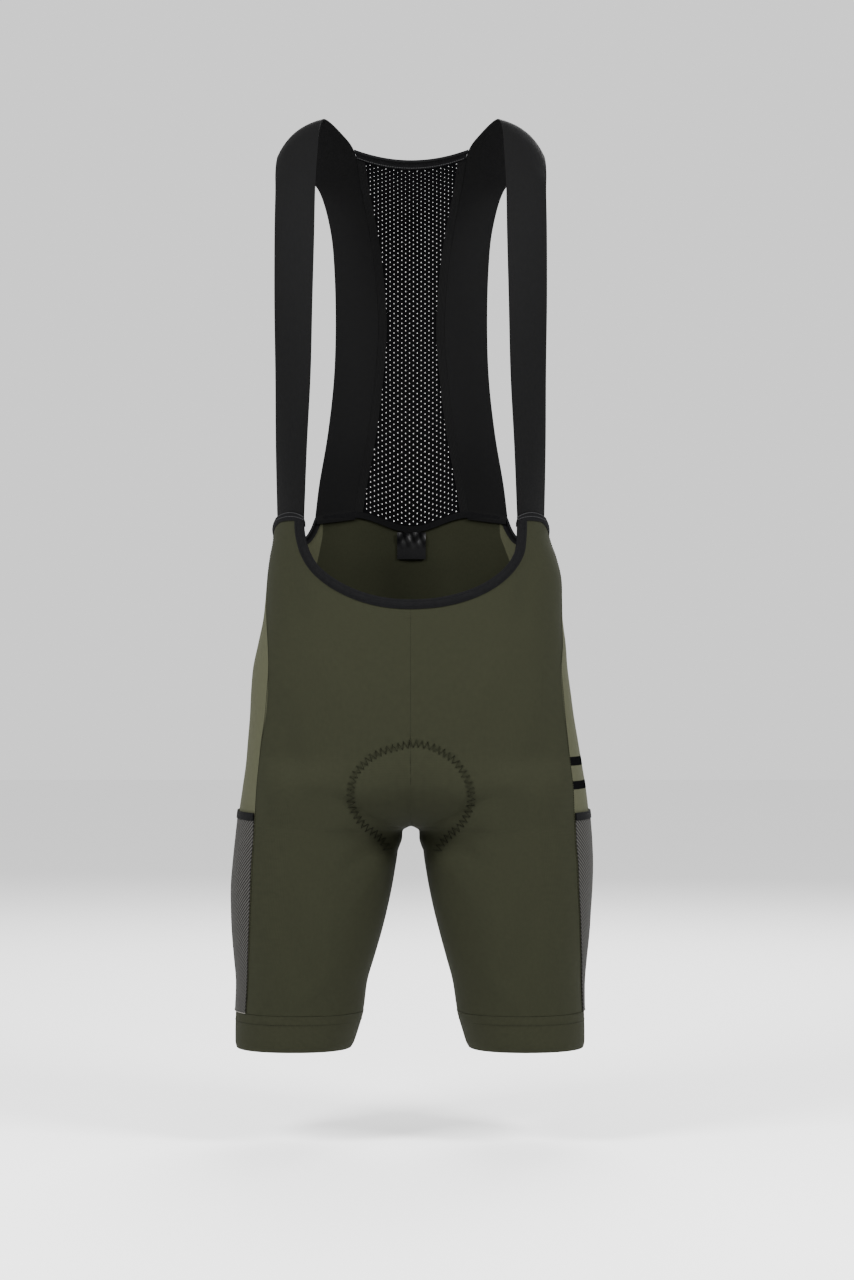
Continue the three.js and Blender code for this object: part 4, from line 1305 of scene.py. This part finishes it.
class BIB_OT_sewing(bpy.types.Operator):
    """Pad zigzag, seam lines and stitches"""

    bl_idname = "bib.sewing"
    bl_label = "Sewing"

    def execute(self, context):
        outline = (*reversed(PAD_OUTLINE_RIGHT), *PAD_OUTLINE_LEFT)
        teeth = zigzag(outline, ZIGZAG_PITCH, ZIGZAG_WIDTH)
        thread("pad_zigzag_thread", teeth, ZIGZAG_RADIUS, "olive_thread")
        side_seams, centre_seams, bases, hems, pockets = [], [], [], [], []
        for side, _ in SIDES:
            for seam, top in ((front_seam, SIDE_SEAM_TOP - 4), (back_seam, YOKE_CORNER_Z - 6)):

                def on_side(t, side=side, seam=seam, top=top):
                    row = body_row(side, mix(HEM_SEAM, top, t))
                    return outward(point_along(row, seam(side, row)), SEAM_LIFT)

                side_seams.append(line_of(120, on_side))
        for end, high in ((0, NECKLINE_LOW - 1), (-1, WAIST_SEAM_LOW - 6)):

            def on_centre(t, end=end, high=high):
                p = body_row(1, mix(FORK_TOP - 30, high, t))["points"][end]
                return p + Vector((0, math.copysign(CENTRE_LIFT + relief(p), p.y), 0))

            centre_seams.append(line_of(80, on_centre))
        stitches("side_seam_stitches", side_seams)
        stitches("centre_seam_stitches", centre_seams)

        def on_neckline(t, inset):
            rise = 1.3 + math.sin(math.pi * inset / NECK_BINDING_WIDTH)
            return outward(neckline_point(mix(-0.99, 0.99, t), inset), rise)

        def on_back_top(t):
            p = back_point(MESH_TOP_STATION - 0.06, mix(-0.97, 0.97, t))
            return p + Vector((0, -1.0, -0.6))

        bases.append(line_of(60, on_back_top))
        for side, _ in SIDES:
            for low, high in BASE_STITCH_ARCHES:

                def on_base(t, side=side, low=low, high=high):
                    arch = math.sin(math.pi * mix(0.06, 0.94, t)) ** PEAK_ARCH_POWER
                    row = body_row(side, PEAK_TOP + low + high * arch)
                    return outward(point_along(row, reach_of(row, mix(104.6, 131.8, t))), 2.3)

                bases.append(line_of(20, on_base))

            def on_hem(t, row=body_row(side, HEM_STITCH_LEVEL)):
                return outward(point_along(row, row["length"] * t), 1.1)

            def on_pocket(t, side=side, row=body_row(side, POCKET_STITCH_LEVEL)):
                start, end = front_seam(side, row) + 2, back_seam(side, row) - 2
                return outward(point_along(row, mix(start, end, t)), 2.1)

            hems.append(line_of(160, on_hem))
            pockets.append(line_of(50, on_pocket))
        necklines = [
            line_of(120, lambda t, inset=inset: on_neckline(t, inset))
            for inset in NECK_STITCH_INSETS
        ]
        stitches("neckline_stitches", necklines)
        stitches("strap_base_stitches", bases)
        stitches("hem_stitches", hems)
        stitches("pocket_hem_stitches", pockets)
        return {"FINISHED"}


# Lower and upper edge of each colour bar, its inset from the seam and its length.
BARS = ((-643.5, -635), (-666.5, -658.5))
BAR_START = 0.6
BAR_LENGTH = 96
BAR_GRID = (30, 3)
BAR_WALL = 0.12
BAR_LIFT = 0.7


class BIB_OT_bars(bpy.types.Operator):
    """Two black colour bars on the left side panel"""

    bl_idname = "bib.bars"
    bl_label = "Bars"

    def execute(self, context):
        for number, (low, high) in enumerate(BARS, 1):

            def place(u, v, low=low, high=high):
                row = body_row(1, mix(low, high, v))
                return point_along(row, front_seam(1, row) + mix(BAR_START, BAR_LENGTH, u))

            sheet_piece(
                f"side_bar_{number}_print", None, "side_bar", "black_mesh", BAR_GRID,
                place, BAR_WALL, lift=BAR_LIFT,
            )
        return {"FINISHED"}


# Studio: the lights' places in metres, power and size, and the camera of the photo's frame.
LIGHTS = (
    ("key", (-0.95, -1.1, 0.55), 62, 0.6),
    ("fill", (1.1, -1.05, 0.55), 60, 0.6),
    ("back", (0.3, 2.2, 1.2), 120, 1.6),
)
LIGHT_TARGET = (0, 0, -0.5)
WORLD_STRENGTH = 1.15
PAPER_TONES = (0.90, 0.93)
FLOOR_LEVEL = -1.02
FLOOR_SIZE = 9
CAMERA_PLACE = (0.016, -3.5, -0.52)
SENSOR_WIDTH = 36
FRAME_HEIGHT = 1.28


class BIB_OT_stage(bpy.types.Operator):
    """Pale backdrop, soft lights and camera"""

    bl_idname = "bib.stage"
    bl_label = "Stage"

    def execute(self, context):
        scene = context.scene
        white = bpy.data.materials.new("backdrop_paper")
        white.use_nodes = True
        nodes, links = white.node_tree.nodes, white.node_tree.links
        paper = nodes["Principled BSDF"]
        grain = nodes.new("ShaderNodeTexNoise")
        grain.inputs["Scale"].default_value = 3.0
        ramp = nodes.new("ShaderNodeValToRGB")
        for element, tone in zip(ramp.color_ramp.elements, PAPER_TONES):
            element.color = (tone, tone, tone, 1)
        links.new(grain.outputs["Fac"], ramp.inputs["Fac"])
        links.new(ramp.outputs["Color"], paper.inputs["Base Color"])
        paper.inputs["Roughness"].default_value = 1.0
        bm = bmesh.new()
        bmesh.ops.create_grid(bm, x_segments=1, y_segments=1, size=FLOOR_SIZE)
        bmesh.ops.translate(bm, verts=bm.verts, vec=(0, 0, FLOOR_LEVEL))
        mesh = bpy.data.meshes.new("floor")
        bm.to_mesh(mesh)
        bm.free()
        floor = bpy.data.objects.new("floor", mesh)
        scene.collection.objects.link(floor)
        floor.data.materials.append(white)
        world = bpy.data.worlds.new("studio")
        world.use_nodes = True
        sky = world.node_tree.nodes["Background"]
        sky.inputs["Color"].default_value = (1, 1, 1, 1)
        sky.inputs["Strength"].default_value = WORLD_STRENGTH
        scene.world = world
        for name, place, power, size in LIGHTS:
            data = bpy.data.lights.new(name, "AREA")
            data.energy = power
            data.size = size
            lamp = bpy.data.objects.new(name, data)
            lamp.location = place
            aim = Vector(LIGHT_TARGET) - Vector(place)
            lamp.rotation_euler = aim.to_track_quat("-Z", "Y").to_euler()
            scene.collection.objects.link(lamp)
        data = bpy.data.cameras.new("camera")
        data.sensor_width = SENSOR_WIDTH
        data.lens = SENSOR_WIDTH * -CAMERA_PLACE[1] / FRAME_HEIGHT
        camera = bpy.data.objects.new("camera", data)
        camera.location = CAMERA_PLACE
        camera.rotation_euler = (math.pi / 2, 0, 0)
        scene.collection.objects.link(camera)
        scene.camera = camera
        return {"FINISHED"}


class BIB_PT_panel(bpy.types.Panel):
    """Lists the pieces of the bib shorts"""

    bl_label = "Bib shorts"
    bl_idname = "BIB_PT_panel"
    bl_space_type = "VIEW_3D"
    bl_region_type = "UI"
    bl_category = "Bib shorts"

    def draw(self, context):
        for operator in OPERATORS:
            self.layout.operator(operator.bl_idname)


OPERATORS = (
    BIB_OT_panels, BIB_OT_hem_bands, BIB_OT_pockets, BIB_OT_straps, BIB_OT_back_mesh,
    BIB_OT_bindings, BIB_OT_pad, BIB_OT_bars, BIB_OT_sewing, BIB_OT_stage,
)
CLASSES = (BibSettings, *OPERATORS, BIB_PT_panel)


def register():
    for cls in CLASSES:
        bpy.utils.register_class(cls)
    bpy.types.Scene.bib_settings = bpy.props.PointerProperty(type=BibSettings)


def unregister():
    del bpy.types.Scene.bib_settings
    for cls in reversed(CLASSES):
        bpy.utils.unregister_class(cls)


def main():
    register()
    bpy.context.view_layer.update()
    bpy.ops.bib.panels()
    bpy.ops.bib.hem_bands()
    bpy.ops.bib.pockets()
    bpy.ops.bib.straps()
    bpy.ops.bib.back_mesh()
    bpy.ops.bib.bindings()
    bpy.ops.bib.pad()
    bpy.ops.bib.bars()
    bpy.ops.bib.sewing()
    bpy.ops.bib.stage()


if __name__ == "__main__":
    main()
